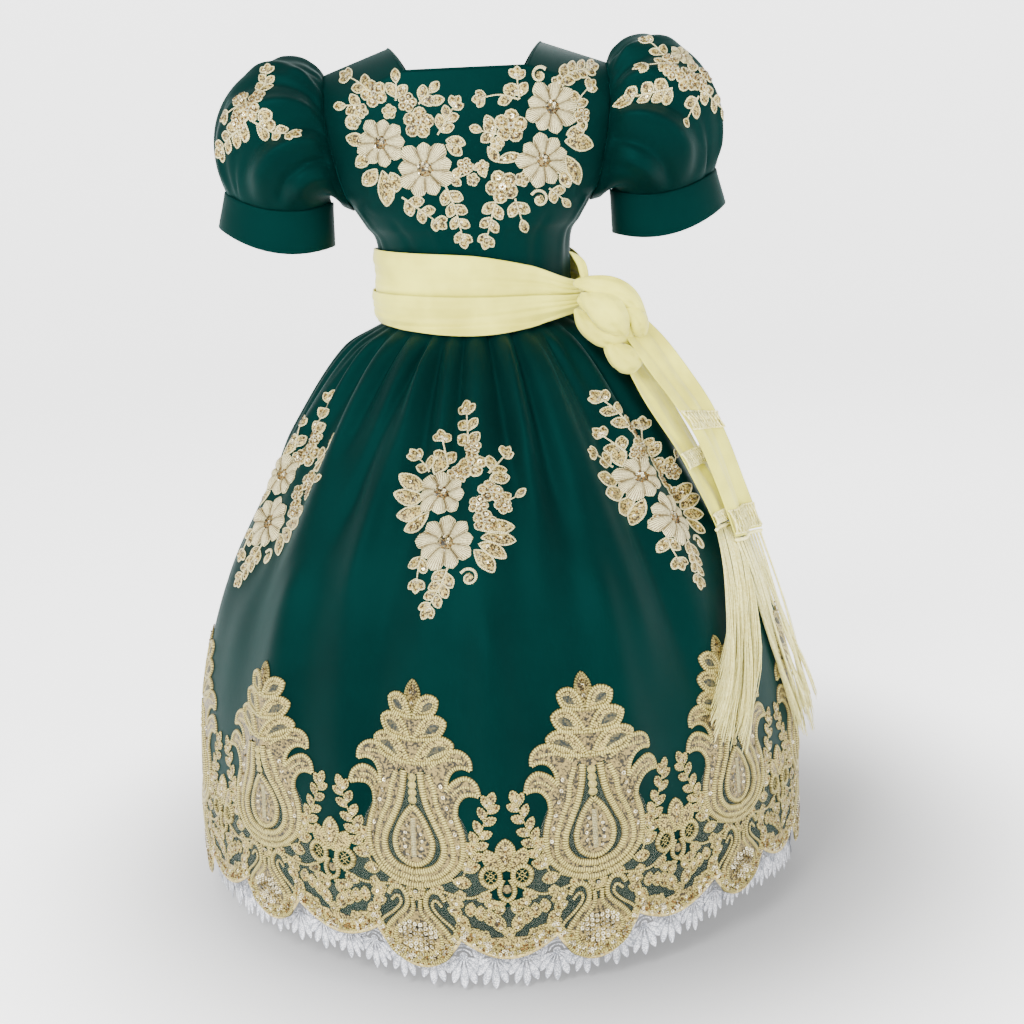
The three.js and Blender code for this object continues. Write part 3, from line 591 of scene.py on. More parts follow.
class Sleeve(Surface):
    """Puff sleeve: angle round the armhole in degrees (0 at the shoulder, 90 in front), t to the cuff."""

    low, high = 0.05, 0.96
    gathers = 14
    # angle at the armhole, angle at the cuff, start, end, half width in degrees, height
    creases = (
        Crease(93, 76, 0.0, 1.0, 8, 5.5), Crease(82, 56, 0.0, 0.96, 8, -5.5), Crease(73, 36, 0.0, 0.85, 8, 4.5),
        Crease(64, 14, 0.0, 0.7, 8, -3.5), Crease(106, 99, 0.0, 1.02, 8, -5), Crease(121, 118, 0.0, 1.0, 8, 3.5),
        Crease(50, 2, 0.0, 0.55, 7, 3), Crease(48, 54, 1.02, 0.6, 6, -3), Crease(30, 34, 1.02, 0.55, 6, 3),
        Crease(12, 14, 1.02, 0.62, 6, -2.5), Crease(28, 24, 0.0, 0.4, 6, -2), Crease(8, 4, 0.0, 0.4, 6, 2),
        Crease(-90, -80, 0.0, 1.0, 8, 5), Crease(-78, -60, 0.0, 0.9, 8, -5), Crease(-66, -40, 0.0, 0.8, 8, 4),
        Crease(-54, -20, 0.0, 0.65, 8, -3), Crease(-104, -100, 0.0, 1.0, 8, -4.5), Crease(-120, -116, 0.0, 1.0, 8, 3),
        Crease(-34, -30, 1.02, 0.6, 6, 3), Crease(-12, -14, 1.02, 0.6, 6, -2.5), Crease(-22, -18, 0.0, 0.42, 6, 2),
    )
    edge_z = (-158, -143, -120, -95, -76, -59, -23)     # the bodice's armhole edge: heights and half widths
    edge_x = (121.0, 127.0, 133.0, 138.0, 141.0, 143.0, 142.0)

    def __init__(self, left: bool) -> None:
        """Makes the wearer's left sleeve, or the right one."""
        self.flip = np.array([1.0 if left else -1.0, 1.0, 1.0])
        self.side = 1.0 if left else -1.0
        self.shift = 7.0 if left else 0.0
        self.puff = 1.0 if left else 0.9

    def at(self, u: Array, v: Array) -> Array:
        """Points of the puff."""
        u, v = np.broadcast_arrays(np.asarray(u, float), np.asarray(v, float))
        c, s = np.cos(np.radians(u)), np.sin(np.radians(u))
        flat = 1 - c * c
        p0 = np.stack([138.5 + 9 * c + 3 * flat, 2 - 38 * s, -92 + 66 * c], -1)
        p1 = np.stack([143 + 8 * c + 6 * flat, -72 * s, -60 + 92 * self.puff * c - 18 * flat], -1)
        p2 = np.stack([221 + 71 * c - 9 * flat, -82 * s, -72.5 + 67.5 * self.puff * c - 32.5 * flat], -1)
        p3 = np.stack([197 + 53 * c, -35 * s, -141 + 8 * c - 12 * flat], -1)
        t = v[..., None]
        point = (1 - t) ** 3 * p0 + 3 * t * (1 - t) ** 2 * p1 + 3 * t ** 2 * (1 - t) * p2 + t ** 3 * p3
        wave = np.cos(np.radians(u * self.gathers)) * np.abs(2 * v - 1) ** 1.6 * (
            0.8 + 0.3 * np.sin(np.radians(3 * u)))
        rise = 2.2 * wave + 1.25 * sum(crease.over(u + self.shift, v) for crease in self.creases)
        rise = rise * (0.08 + 0.92 * np.clip((1 + c) / 0.75, 0, 1) ** 1.5) * np.clip(12 * (1.02 - v), 0.25, 1)
        middle = np.stack([lerp(140.0, 197.0, v), np.zeros_like(v), lerp(-92.0, -150.0, v)], -1)
        out = point - middle
        out /= np.linalg.norm(out, axis=-1, keepdims=True)
        point = point + out * rise[..., None]
        sewn = np.clip(1 - v / 0.13, 0, 1) ** 1.5
        point[..., 0] += sewn * (np.interp(point[..., 2], self.edge_z, self.edge_x) + 0.3 - point[..., 0])
        return point * self.flip


class Cuff(Surface):
    """Cuff band: angle as in the sleeve, t from the gathers down to its open edge."""

    def __init__(self, left: bool) -> None:
        """Makes the wearer's left cuff, or the right one."""
        self.flip = np.array([1.0 if left else -1.0, 1.0, 1.0])
        self.side = 1.0 if left else -1.0

    def at(self, u: Array, v: Array) -> Array:
        """Points of the band."""
        c, s = np.cos(np.radians(u)), np.sin(np.radians(u))
        flat = 1 - c * c
        return np.stack([
            lerp(197.0, 202.0, v) + lerp(54.0, 58.0, v) * c, -lerp(36.0, 38.0, v) * s,
            lerp(-142.4, -180.0, v) + lerp(8.0, 12.5, v) * c - lerp(12.0, 14.0, v) * flat], -1) * self.flip


def lift(angle: Array, z: Array) -> Array:
    """How much higher than the table's z the skirt hangs, at an angle round it."""
    return 20 * np.sin(np.radians(2 * angle)) ** 2 * np.clip((-z - 450) / 370, 0, 1.1) ** 1.5


def ring(angle: Array, radius: Array, oval: Array, z: Array) -> Array:
    """Points at angles from centre front on an oval ring."""
    angle, radius, oval, z = np.broadcast_arrays(angle, radius, oval, z)
    return np.stack([radius * np.sin(np.radians(angle)), -radius * oval * np.cos(np.radians(angle)), z], -1)


class Skirt(Surface):
    """Skirt: angle from centre front in degrees, row in the table."""

    side = -1.0
    gathers = 30
    hem_row = 8
    table = (
        RingRow(WAIST_Z - SIDE_SEAM, 97.5, 0.78, 1.2, 0), RingRow(-291, 127, 0.8, 4, 0.1),
        RingRow(-322, 155, 0.85, 5.4, 0.4), RingRow(-373, 190, 0.91, 5.2, 0.8), RingRow(-442, 232, 0.96, 3.4, 1),
        RingRow(-528, 279, 0.985, 1.2, 1), RingRow(-630, 310, 1, 0.3, 0.7), RingRow(-735, 323, 1, 0, 0.4),
        RingRow(-812, 325, 1, 0, 0.3), RingRow(-846, 324, 1, 0, 0.3),
    )
    folds = (
        (-72, 9, 5), (-46, 8, 6), (-27, 6, 5), (-4, 9, 4), (22, 7, 6), (41, 6, 4),
        (108, 8, 6), (136, 8, 5), (160, 7, 6), (186, 9, 5), (212, 8, 6), (240, 8, 5),
    )

    creases = (
        Crease(-24, -38, 0.3, 4.6, 3.2, -6), Crease(-18, -24, 0.3, 7.2, 4.5, -6), Crease(-21, -31, 0.5, 5.2, 3.2, 4.5),
        Crease(-7, -10, 0.4, 4.4, 3, -4.5), Crease(4, 9, 0.2, 4.4, 3.2, -5), Crease(12, 12, 0.5, 3.4, 3, 4),
        Crease(17, 17, 0.2, 4.4, 3, -4.5), Crease(26, 29, 0.5, 6.2, 3.5, 4.5), Crease(33, 38, 0.2, 6.4, 4, -8),
        Crease(-1, 0, 4.6, 7.2, 6, 6), Crease(21, 21, 4.2, 6.8, 6, 6), Crease(-43, -43, 4.2, 6.8, 6, 6),
        Crease(-23, -23, 6.1, 7.6, 3, -4), Crease(-39, -45, 0.3, 3.6, 3, -5), Crease(51, 58, 0.3, 5.2, 4, -6),
        Crease(62, 66, 0.4, 3.8, 3, 4), Crease(74, 78, 0.3, 5.8, 4, -6), Crease(-56, -62, 0.4, 5.4, 4, -6),
        Crease(-66, -70, 0.5, 4.0, 3, 4), Crease(-78, -84, 0.3, 6.0, 4, -6.5), Crease(92, 96, 0.4, 4.4, 3, -5),
        Crease(106, 101, 0.3, 6.2, 4, -7), Crease(116, 118, 0.5, 4.0, 3, 4), Crease(127, 131, 0.3, 5.0, 4, -5),
        Crease(141, 146, 0.4, 6.6, 4, -7), Crease(153, 152, 0.5, 3.8, 3, 4.5), Crease(163, 166, 0.3, 4.6, 3, -5),
        Crease(176, 181, 0.3, 6.0, 4, -7), Crease(188, 190, 0.5, 4.4, 3, 4), Crease(199, 196, 0.3, 5.2, 4, -5.5),
        Crease(212, 208, 0.4, 6.6, 4, -6.5), Crease(224, 225, 0.5, 3.6, 3, 4), Crease(236, 241, 0.3, 4.8, 4, -6),
        Crease(249, 255, 0.3, 5.8, 4, -6), Crease(262, 264, 0.5, 4.0, 3, 4), Crease(74, 70, 5.0, 7.4, 6, 4),
        Crease(-84, -80, 5.2, 7.4, 5, -4), Crease(122, 124, 4.8, 7.2, 6, 5), Crease(158, 160, 5.4, 7.6, 5, -4),
        Crease(196, 193, 4.6, 7.0, 6, 5), Crease(232, 229, 5.2, 7.6, 6, -4),
    )

    def at(self, u: Array, v: Array) -> Array:
        """Points of the skirt's cloth: its solid form with uneven gathers and creases."""
        u, v = np.broadcast_arrays(np.asarray(u, float), np.asarray(v, float))
        z = smooth(column(self.table, "z"), v)
        gather = smooth(column(self.table, "gather"), v) * (
            0.95 + 0.25 * np.sin(np.radians(5 * u + 60)) + 0.25 * np.sin(np.radians(11 * u - 40)))
        uneven = 55 * np.sin(np.radians(3 * u + 20)) + 42 * np.sin(np.radians(7 * u + 130))
        big = sum(h * np.exp(-(signed(u - d) / half) ** 2) for d, half, h in self.folds)
        radius = smooth(column(self.table, "radius"), v) + gather * np.cos(np.radians(self.gathers * u + uneven))
        radius = radius + smooth(column(self.table, "fold"), v) * big + 1.5 * sum(c.over(u, v) for c in self.creases)
        return ring(u, radius, smooth(column(self.table, "oval"), v), z + lift(u, z))

    def row_at(self, z: Array) -> Array:
        """The row whose height, before the hem's lift, is z."""
        rows = np.linspace(-0.5, len(self.table) - 0.7, 400)
        heights = smooth(column(self.table, "z"), rows)
        return np.interp(-np.asarray(z, float), -heights, rows)


class Petticoat(Surface):
    """Petticoat: angle from centre front in degrees, row in its table."""

    side = -1.0
    table = (RingRow(-330, 144, 0.84), RingRow(-480, 240, 0.96), RingRow(-650, 303, 1), RingRow(-818, 317, 1))

    def at(self, u: Array, v: Array) -> Array:
        """Points of the underskirt."""
        z = smooth(column(self.table, "z"), v)
        return ring(u, smooth(column(self.table, "radius"), v), smooth(column(self.table, "oval"), v), z + lift(u, z))


class LaceBand(Surface):
    """White lace band: angle from centre front in degrees, height before the hem's lift."""

    side = -1.0
    radius = 317.0
    top = -819.0

    def at(self, u: Array, v: Array) -> Array:
        """Points of the band."""
        return ring(u, self.radius, 1.0, v + lift(u, v))


# ---------------------------------------------------------------- meshes
class Cloth:
    """Gathers faces from several shapes and makes them one object."""

    def __init__(self) -> None:
        """Starts with nothing."""
        self.points: list[Array] = []
        self.uvs: list[Array] = []
        self.faces: list[tuple[int, ...]] = []
        self.slots: list[int] = []
        self.count = 0
        self.finishes: list[Finish] = []

    def slot(self, finish: Finish) -> int:
        """The number of a finish on this object."""
        if finish not in self.finishes:
            self.finishes.append(finish)
        return self.finishes.index(finish)

    def add(self, points: Array, faces: Iterable[Sequence[int]], finish: Finish, uv: Array | None = None) -> None:
        """Adds points in millimetres and the faces on them.

        Args:
            points: Points, three numbers each.
            faces: Corners of each face, as numbers of these points.
            finish: What the faces are made of.
            uv: Two numbers in metres for each point.
        """
        base, slot = self.count, self.slot(finish)
        points = np.asarray(points, float).reshape(-1, 3)
        self.points.append(points)
        self.uvs.append(points[:, [0, 2]] * MM if uv is None else np.asarray(uv, float).reshape(-1, 2))
        for face in faces:
            self.faces.append(tuple(base + int(i) for i in face))
            self.slots.append(slot)
        self.count += len(points)

    def grid(self, grid: Array, finish: Finish, wrapped: bool = False, flip: bool = False,
             uv: Array | None = None, keep: Array | None = None) -> None:
        """Adds a grid of points, columns first.

        Args:
            grid: Points as (columns, rows, 3).
            finish: What the cloth is made of.
            wrapped: Whether the last column joins the first.
            flip: Whether the faces turn the other way round.
            uv: Places along the cloth in metres, as (columns, rows, 2).
            keep: Which faces stay, as (columns - 1, rows - 1).
        """
        columns, rows = grid.shape[:2]
        if uv is None:
            uv = cloth_uv(grid)
        faces = []
        for i in range(columns if wrapped else columns - 1):
            a, b = i * rows, ((i + 1) % columns) * rows
            for j in range(rows - 1):
                if keep is None or keep[i, j]:
                    face = (a + j, b + j, b + j + 1, a + j + 1)
                    faces.append(face[::-1] if flip else face)
        points, uv = np.asarray(grid, float).reshape(-1, 3), np.asarray(uv, float).reshape(-1, 2)
        if keep is not None:
            used = np.unique(np.array(faces))
            fresh = np.zeros(len(points), int)
            fresh[used] = np.arange(len(used))
            faces = [tuple(fresh[list(face)]) for face in faces]
            points, uv = points[used], uv[used]
        self.add(points, faces, finish, uv)

    def make(self, name: str, thickness: float = 0.0, offset: float = 0.0) -> bpy.types.Object:
        """Makes the object.

        Args:
            name: The object's name.
            thickness: Wall thickness in millimetres; 0 leaves a single skin.
            offset: -1 grows the wall inwards, 1 outwards, 0 both ways.

        Returns:
            The new object, riding on the dress.
        """
        mesh = bpy.data.meshes.new(name)
        points = np.concatenate(self.points) * MM
        mesh.from_pydata(points.tolist(), [], self.faces)
        mesh.polygons.foreach_set("use_smooth", [True] * len(self.faces))
        mesh.polygons.foreach_set("material_index", self.slots)
        uvs = np.concatenate(self.uvs)
        corner = np.empty(len(mesh.loops), np.int32)
        mesh.loops.foreach_get("vertex_index", corner)
        layer = mesh.uv_layers.new(name="along")
        layer.data.foreach_set("uv", uvs[corner].ravel())
        for finish in self.finishes:
            mesh.materials.append(material(finish))
        obj = bpy.data.objects.new(name, mesh)
        bpy.context.scene.collection.objects.link(obj)
        if thickness:
            modifier = obj.modifiers.new("wall", "SOLIDIFY")
            modifier.thickness = thickness * MM
            modifier.offset = offset
            modifier.use_even_offset = False
            apply_modifiers(obj)
        obj.data.update()
        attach(obj, BODY)
        log.info("%s: %d faces", name, len(obj.data.polygons))
        return obj


def apply_modifiers(obj: bpy.types.Object) -> None:
    """Turns an object's modifiers into its mesh."""
    depsgraph = bpy.context.evaluated_depsgraph_get()
    mesh = bpy.data.meshes.new_from_object(obj.evaluated_get(depsgraph))
    old, obj.data = obj.data, mesh
    obj.modifiers.clear()
    bpy.data.meshes.remove(old)


def cloth_uv(grid: Array) -> Array:
    """Lengths across and along a grid of points, in metres."""
    across = np.linalg.norm(np.diff(grid, axis=0), axis=-1).mean(axis=1)
    along = np.linalg.norm(np.diff(grid, axis=1), axis=-1).mean(axis=0)
    u = np.concatenate([[0], np.cumsum(across)]) * MM
    v = np.concatenate([[0], np.cumsum(along)]) * MM
    return np.stack(np.meshgrid(u, v, indexing="ij"), -1)


def mesh_grid(us: Array, vs: Array) -> tuple[Array, Array]:
    """Coordinates of a grid, columns first."""
    return tuple(np.meshgrid(np.asarray(us, float), np.asarray(vs, float), indexing="ij"))


# ---------------------------------------------------------------- raised designs
Place = Callable[[Array], Array]


class Motif:
    """A raised design in its own flat millimetres: across, up, and height off the cloth."""

    def __init__(self) -> None:
        """Starts with nothing."""
        self.parts: list[tuple[Array, list[tuple[int, ...]], Finish, Array]] = []

    def shape(self, points: Array, faces: list[tuple[int, ...]], finish: Finish, along: Array | None = None) -> None:
        """Adds any faces; along holds each point's share across, -1 to 1, and its run in metres."""
        points = np.asarray(points, float).reshape(-1, 3)
        self.parts.append((
            points, faces, finish, np.zeros((len(points), 2)) if along is None else along.reshape(-1, 2)))

    def strip(self, grid: Array, finish: Finish, closed: bool = False, along: Array | None = None) -> None:
        """Adds a grid of points, (stations, across, 3), as faces."""
        n, m = grid.shape[:2]
        faces = []
        for i in range(n if closed else n - 1):
            a, b = i * m, ((i + 1) % n) * m
            faces += [(a + j, a + j + 1, b + j + 1, b + j) for j in range(m - 1)]
        self.shape(grid, faces, finish, along)

    def sheet(self, one: Sequence[Sequence[float]], two: Sequence[Sequence[float]], finish: Finish = Finish.SHADE,
              crown: float = 0.5, count: int = 14) -> None:
        """Fills the space between two curves."""
        a, b = flowing(one, count), flowing(two, count)
        share = np.linspace(0, 1, 4)
        grid = np.empty((count, 4, 3))
        grid[..., :2] = a[:, None] + (b - a)[:, None] * share[None, :, None]
        grid[..., 2] = 0.15 + crown * 4 * share * (1 - share)
        self.strip(grid, finish)

    def cord(self, points: Sequence[Sequence[float]], radius: float, finish: Finish = Finish.CORD,
             closed: bool = False, step: float = 3.0, base: float = 0.0, taper: float = 1.0,
             flow: bool = True, rise: float = 0.85) -> None:
        """Lays a half-round cord along a curve.

        Args:
            points: What the cord passes through.
            radius: Its radius.
            finish: Its thread.
            closed: Whether it joins itself.
            step: Distance between its rings.
            base: How high its foot lies.
            taper: Radius at the end, as a share of radius.
            flow: Whether the curve is smooth, or keeps the given points.
            rise: Its height, as a share of its radius.
        """
        p = np.array(points, float)
        if flow:
            run = np.linalg.norm(np.diff(np.vstack([p, p[:1]]) if closed else p, axis=0), axis=1).sum()
            p = flowing(points, max(4, int(run / step)), closed)
        n = len(p)
        if closed:
            ahead = np.roll(p, -1, axis=0) - np.roll(p, 1, axis=0)
        else:
            ahead = np.gradient(p, axis=0)
        ahead /= np.maximum(np.linalg.norm(ahead, axis=1, keepdims=True), 1e-9)
        side = np.stack([-ahead[:, 1], ahead[:, 0]], 1)
        radii = radius * (np.ones(n) if closed else np.linspace(1, taper, n))
        profile = ((1.0, -0.15), (0.6, 0.75), (0.0, 1.0), (-0.6, 0.75), (-1.0, -0.15))
        grid = np.empty((n, 5, 3))
        run = np.concatenate([[0], np.cumsum(np.linalg.norm(np.diff(p, axis=0), axis=1))])
        along = np.stack([np.tile([out for out, _ in profile], (n, 1)), np.tile(run[:, None] * MM, (1, 5))], -1)
        for j, (out, up) in enumerate(profile):
            grid[:, j, :2] = p + side * (out * radii)[:, None]
            grid[:, j, 2] = base + up * rise * radii
        self.strip(grid, finish, closed, along)

    def leaf(self, base: Sequence[float], tip: Sequence[float], half: float, fill: Finish = Finish.FILL,
             edge: Finish | None = Finish.CORD, bend: float = 0.0, crown: float = 1.0, cord: float = 0.8,
             beads: float = 0.0, full: float = 1.15) -> None:
        """Adds a leaf or petal: a crowned filling inside an outline cord.

        Args:
            base: Where it starts.
            tip: Where it ends.
            half: Its half width at the widest.
            fill: What fills it.
            edge: The outline cord, or None.
            bend: How far its middle leans to the left, as a share of its length.
            crown: Height of its middle.
            cord: Radius of the outline.
            beads: Radius of the beads along its middle, or 0.
            full: At 1 the leaf is widest in its middle, below it nearer the base, above it nearer the tip.
        """
        a, b = np.array(base, float), np.array(tip, float)
        along = b - a
        length = float(np.linalg.norm(along))
        left = np.array([-along[1], along[0]]) / length
        t = 0.5 - 0.5 * np.cos(np.pi * np.linspace(0, 1, 10 if length > 16 else 8))
        centre = a + along * t[:, None] + left * (4 * bend * length * t * (1 - t))[:, None]
        ahead = np.gradient(centre, axis=0)
        ahead /= np.linalg.norm(ahead, axis=1, keepdims=True)
        side = np.stack([-ahead[:, 1], ahead[:, 0]], 1)
        width = half * np.sin(np.pi * t ** full) ** 0.72
        grid = np.empty((len(t), 5, 3))
        for j, share in enumerate((-1, -0.55, 0, 0.55, 1)):
            grid[:, j, :2] = centre + side * (share * width)[:, None]
            grid[:, j, 2] = crown * (1 - share * share) * (0.35 + 0.65 * np.sin(np.pi * t))
        shares = np.tile([-1, -0.55, 0, 0.55, 1], (len(t), 1))
        self.strip(grid, fill, along=np.stack([shares, np.tile(t[:, None] * length * MM, (1, 5))], -1))
        if edge is not None:
            ring = np.vstack([grid[:, 4, :2], grid[-2:0:-1, 0, :2]])
            self.cord(ring, cord, edge, closed=True, flow=False)
        if beads:
            count = max(1, int(length * 0.6 / (beads * 3.2)))
            for i, share in enumerate(np.linspace(0.3, 0.76, count)):
                x, y = (float(np.interp(share, t, centre[:, k])) for k in (0, 1))
                if i % 2:
                    self.bead((x, y), beads, base=crown * 0.8)
                else:
                    self.sequin((x, y), beads * 1.5, crown * 0.8, 5 * x)

    def bead(self, at: Sequence[float], radius: float, finish: Finish = Finish.BEAD, base: float = 0.0,
             rise: float = 1.0) -> None:
        """Adds a small round bead."""
        turn = np.radians(np.arange(6) * 60 + 37 * at[0])
        low = np.stack([at[0] + radius * np.cos(turn), at[1] + radius * np.sin(turn), np.full(6, base)], 1)
        mid = np.stack([at[0] + 0.72 * radius * np.cos(turn), at[1] + 0.72 * radius * np.sin(turn),
                        np.full(6, base + 0.7 * rise * radius)], 1)
        top = np.array([[at[0], at[1], base + rise * radius]])
        faces: list[tuple[int, ...]] = [(i, (i + 1) % 6, 6 + (i + 1) % 6, 6 + i) for i in range(6)]
        faces += [(6 + i, 6 + (i + 1) % 6, 12) for i in range(6)]
        self.shape(np.vstack([low, mid, top]), faces, finish)

    def beads(self, points: Sequence[Sequence[float]], radius: float, finish: Finish = Finish.BEAD,
              gap: float = 2.4, base: float = 0.4, closed: bool = False) -> None:
        """Sews a row of beads along a curve; gap is in radii."""
        run = np.linalg.norm(np.diff(np.array(points, float), axis=0), axis=1).sum()
        for at in flowing(points, max(2, int(run / (radius * gap))), closed):
            self.bead(at, radius, finish, base)

    def sequin(self, at: Sequence[float], radius: float, base: float, lean: float,
               finish: Finish = Finish.SEQUIN) -> None:
        """Adds a cupped sequin: a six-sided disc that leans a little."""
        turn = np.radians(np.arange(6) * 60 + 50 * at[0])
        rim = np.stack([at[0] + radius * np.cos(turn), at[1] + radius * np.sin(turn),
                        base + 0.35 + 0.4 * radius * np.sin(turn + lean)], 1)
        faces: list[tuple[int, ...]] = [(i, (i + 1) % 6, 6) for i in range(6)]
        self.shape(np.vstack([rim, [[at[0], at[1], base + 0.1]]]), faces, finish)
        self.bead(at, 0.38 * radius, Finish.BEAD, base + 0.25)

    def disc(self, at: Sequence[float], radius: float, finish: Finish, crown: float) -> None:
        """Adds a low round cushion."""
        turn = np.radians(np.arange(9) * 40)
        rings = [np.stack([at[0] + r * radius * np.cos(turn), at[1] + r * radius * np.sin(turn),
                           np.full(9, crown * (1 - r * r))], 1) for r in (1.0, 0.6)]
        faces: list[tuple[int, ...]] = [(i, (i + 1) % 9, 9 + (i + 1) % 9, 9 + i) for i in range(9)]
        faces += [(9 + i, 9 + (i + 1) % 9, 18) for i in range(9)]
        self.shape(np.vstack([*rings, [[at[0], at[1], crown]]]), faces, finish)

    def rosette(self, at: Sequence[float], radius: float, petals: int = 11, turn: float = 0.0,
                heart: float = 0.33, crown: float = 3.4) -> None:
        """Adds a big round flower: silk petals side by side round a beaded heart.

        Args:
            at: Its middle.
            radius: Its radius.
            petals: How many petals.
            turn: Angle of the first petal in degrees.
            heart: Radius of the heart, as a share.
            crown: Height of a petal.
        """
        centre = np.array(at, float)
        across, run = mesh_grid(np.linspace(-1, 1, 9), np.linspace(0, 1, 6))
        rims = []
        for k in range(petals):
            reach = radius * (1 + 0.08 * math.sin(2.7 * k + turn))
            way = np.radians(turn + 360 * (k + 0.53 * across + 0.07 * math.sin(5 * k)) / petals)
            out = lerp(0.8 * heart * radius, reach * (1 - 0.24 * across ** 2 + 0.02 * np.cos(9 * across)), run)
            height = 0.3 + crown * np.sin(np.pi * (0.14 + 0.8 * run)) * (1 - 0.7 * across ** 2)
            height = height + 0.5 * math.sin(4 * k + turn) * run
            grid = np.stack([centre[0] + out * np.cos(way), centre[1] + out * np.sin(way), height], -1)
            self.strip(grid, Finish.CREAM, along=np.stack([across, run * reach * MM], -1))
            rims.append(grid[:, -1, :2])
        self.cord(np.vstack(rims), 0.5, Finish.RIM, closed=True, flow=False)
        self.disc(centre, heart * radius, Finish.SHADE, 0.4 * crown)
        for k in range(18):
            way, out = 2.4 * k, heart * radius * 1.05 * math.sqrt((k + 0.5) / 18)
            spot = centre + out * np.array([math.cos(way), math.sin(way)])
            if k % 3:
                self.bead(spot, 1.2, Finish.BEAD, 0.3 * crown)
            else:
                self.sequin(spot, 1.5, 0.35 * crown, way)

    def blossom(self, at: Sequence[float], radius: float, petals: int = 5, turn: float = 0.0,
                finish: Finish = Finish.FILL, edge: Finish = Finish.RIM, cord: float = 0.72) -> None:
        """Adds a small flower: round petals with an outline cord and a bead filling.

        Args:
            at: Its middle.
            radius: Its radius.
            petals: How many petals.
            turn: Angle of the first petal in degrees.
            finish: What fills a petal.
            edge: A petal's outline.
            cord: Radius of the outline.
        """
        centre = np.array(at, float)
        size = radius * min(0.42, 0.62 * math.sin(math.pi / petals) + 0.06)
        for k in range(petals):
            way = math.radians(turn + 360 * k / petals)
            middle = centre + (radius - size) * np.array([math.cos(way), math.sin(way)])
            self.disc(middle, size, finish, 1.3)
            ring = [middle + size * np.array([math.cos(a), math.sin(a)]) for a in np.radians(np.arange(9) * 40 + turn)]
            self.cord(ring, cord, edge, closed=True, flow=False)
            if size > 3:
                self.sequin(middle, 0.36 * size, 1.2, way)
                for spin in (1.0, 3.1, 5.2):
                    self.bead(
                        middle + 0.6 * size * np.array([math.cos(way + spin), math.sin(way + spin)]), 0.95, base=0.9)
        self.sequin(centre, 0.22 * radius, 1.4, turn)

    def curl(self, at: Sequence[float], radius: float, start: float, sweep: float, cord: float = 1.2,
             finish: Finish = Finish.CORD) -> None:
        """Adds a cord that winds in to a small eye; angles in degrees."""
        turns = np.radians(start + sweep * np.linspace(0, 1, 14))
        reach = radius * (1 - 0.75 * np.linspace(0, 1, 14) ** 1.2)
        points = np.array(at, float) + np.stack([reach * np.cos(turns), reach * np.sin(turns)], 1)
        self.cord(points, cord, finish, step=2.2, taper=0.7)

    def sprig(self, path: Sequence[Sequence[float]], leaves: int, length: float, half: float,
              fill: Finish = Finish.FILL, edge: Finish = Finish.RIM, stem: float = 1.0, spread: float = 46.0,
              shrink: float = 0.75, cord: float = 0.72, beads: float = 0.95, first: float = 0.12) -> None:
        """Adds a leafy stem with a leaf at its end.

        Args:
            path: What the stem passes through.
            leaves: Pairs of leaves.
            length: Length of the first leaves.
            half: Half width of the first leaves.
            fill: What fills a leaf.
            edge: A leaf's outline.
            stem: Radius of the stem.
            spread: Angle between leaf and stem in degrees.
            shrink: Size of the last leaves, as a share.
            cord: Radius of a leaf's outline.
            beads: Radius of the beads on a leaf, or 0.
            first: Where the first pair sits along the stem, as a share.
        """
        line = flowing(path, 40)
        self.cord(line[::4], stem, edge, taper=0.6)
        for k in range(leaves):
            share = first + (0.9 - first) * k / max(1, leaves - 1)
            i = min(int(share * 39), 38)
            ahead = line[i + 1] - line[i]
            way = math.atan2(ahead[1], ahead[0])
            size = 1 + (shrink - 1) * k / max(1, leaves - 1)
            for sign in (-1, 1):
                i = min(i + (2 if sign > 0 else 0), 38)
                turn = way + sign * math.radians(spread - 8 * size)
                out = np.array([math.cos(turn), math.sin(turn)])
                root = line[i] + out * stem
                self.leaf(root, root + out * length * size, half * size, fill, edge, bend=-0.06 * sign, cord=cord,
                          beads=beads)
        ahead = line[-1] - line[-4]
        ahead /= np.linalg.norm(ahead)
        self.leaf(line[-1] - ahead, line[-1] + ahead * length * shrink * 1.05, half * shrink * 1.1, fill, edge,
                  cord=cord, beads=beads)

    def mirrored(self, x: float = 0.0) -> "Motif":
        """The same design mirrored about an upright line."""
        other = Motif()
        for points, faces, finish, along in self.parts:
            flipped = points.copy()
            flipped[:, 0] = 2 * x - flipped[:, 0]
            other.parts.append((flipped, [face[::-1] for face in faces], finish, along))
        return other

    def take(self, *others: "Motif") -> "Motif":
        """Adds other designs to this one."""
        for other in others:
            self.parts += other.parts
        return self

    def lay(self, cloth: Cloth, place: Place) -> None:
        """Lays the design on a cloth through a function from flat to real points."""
        by_finish: dict[Finish, list[tuple[Array, list[tuple[int, ...]], Array]]] = {}
        for points, faces, finish, along in self.parts:
            by_finish.setdefault(finish, []).append((points, faces, along))
        for finish, group in by_finish.items():
            base, faces_all = 0, []
            for points, faces, _ in group:
                faces_all += [tuple(base + i for i in face) for face in faces]
                base += len(points)
            flat = np.vstack([points for points, _, _ in group])
            cloth.add(place(flat), faces_all, finish, uv=np.vstack([along for _, _, along in group]))


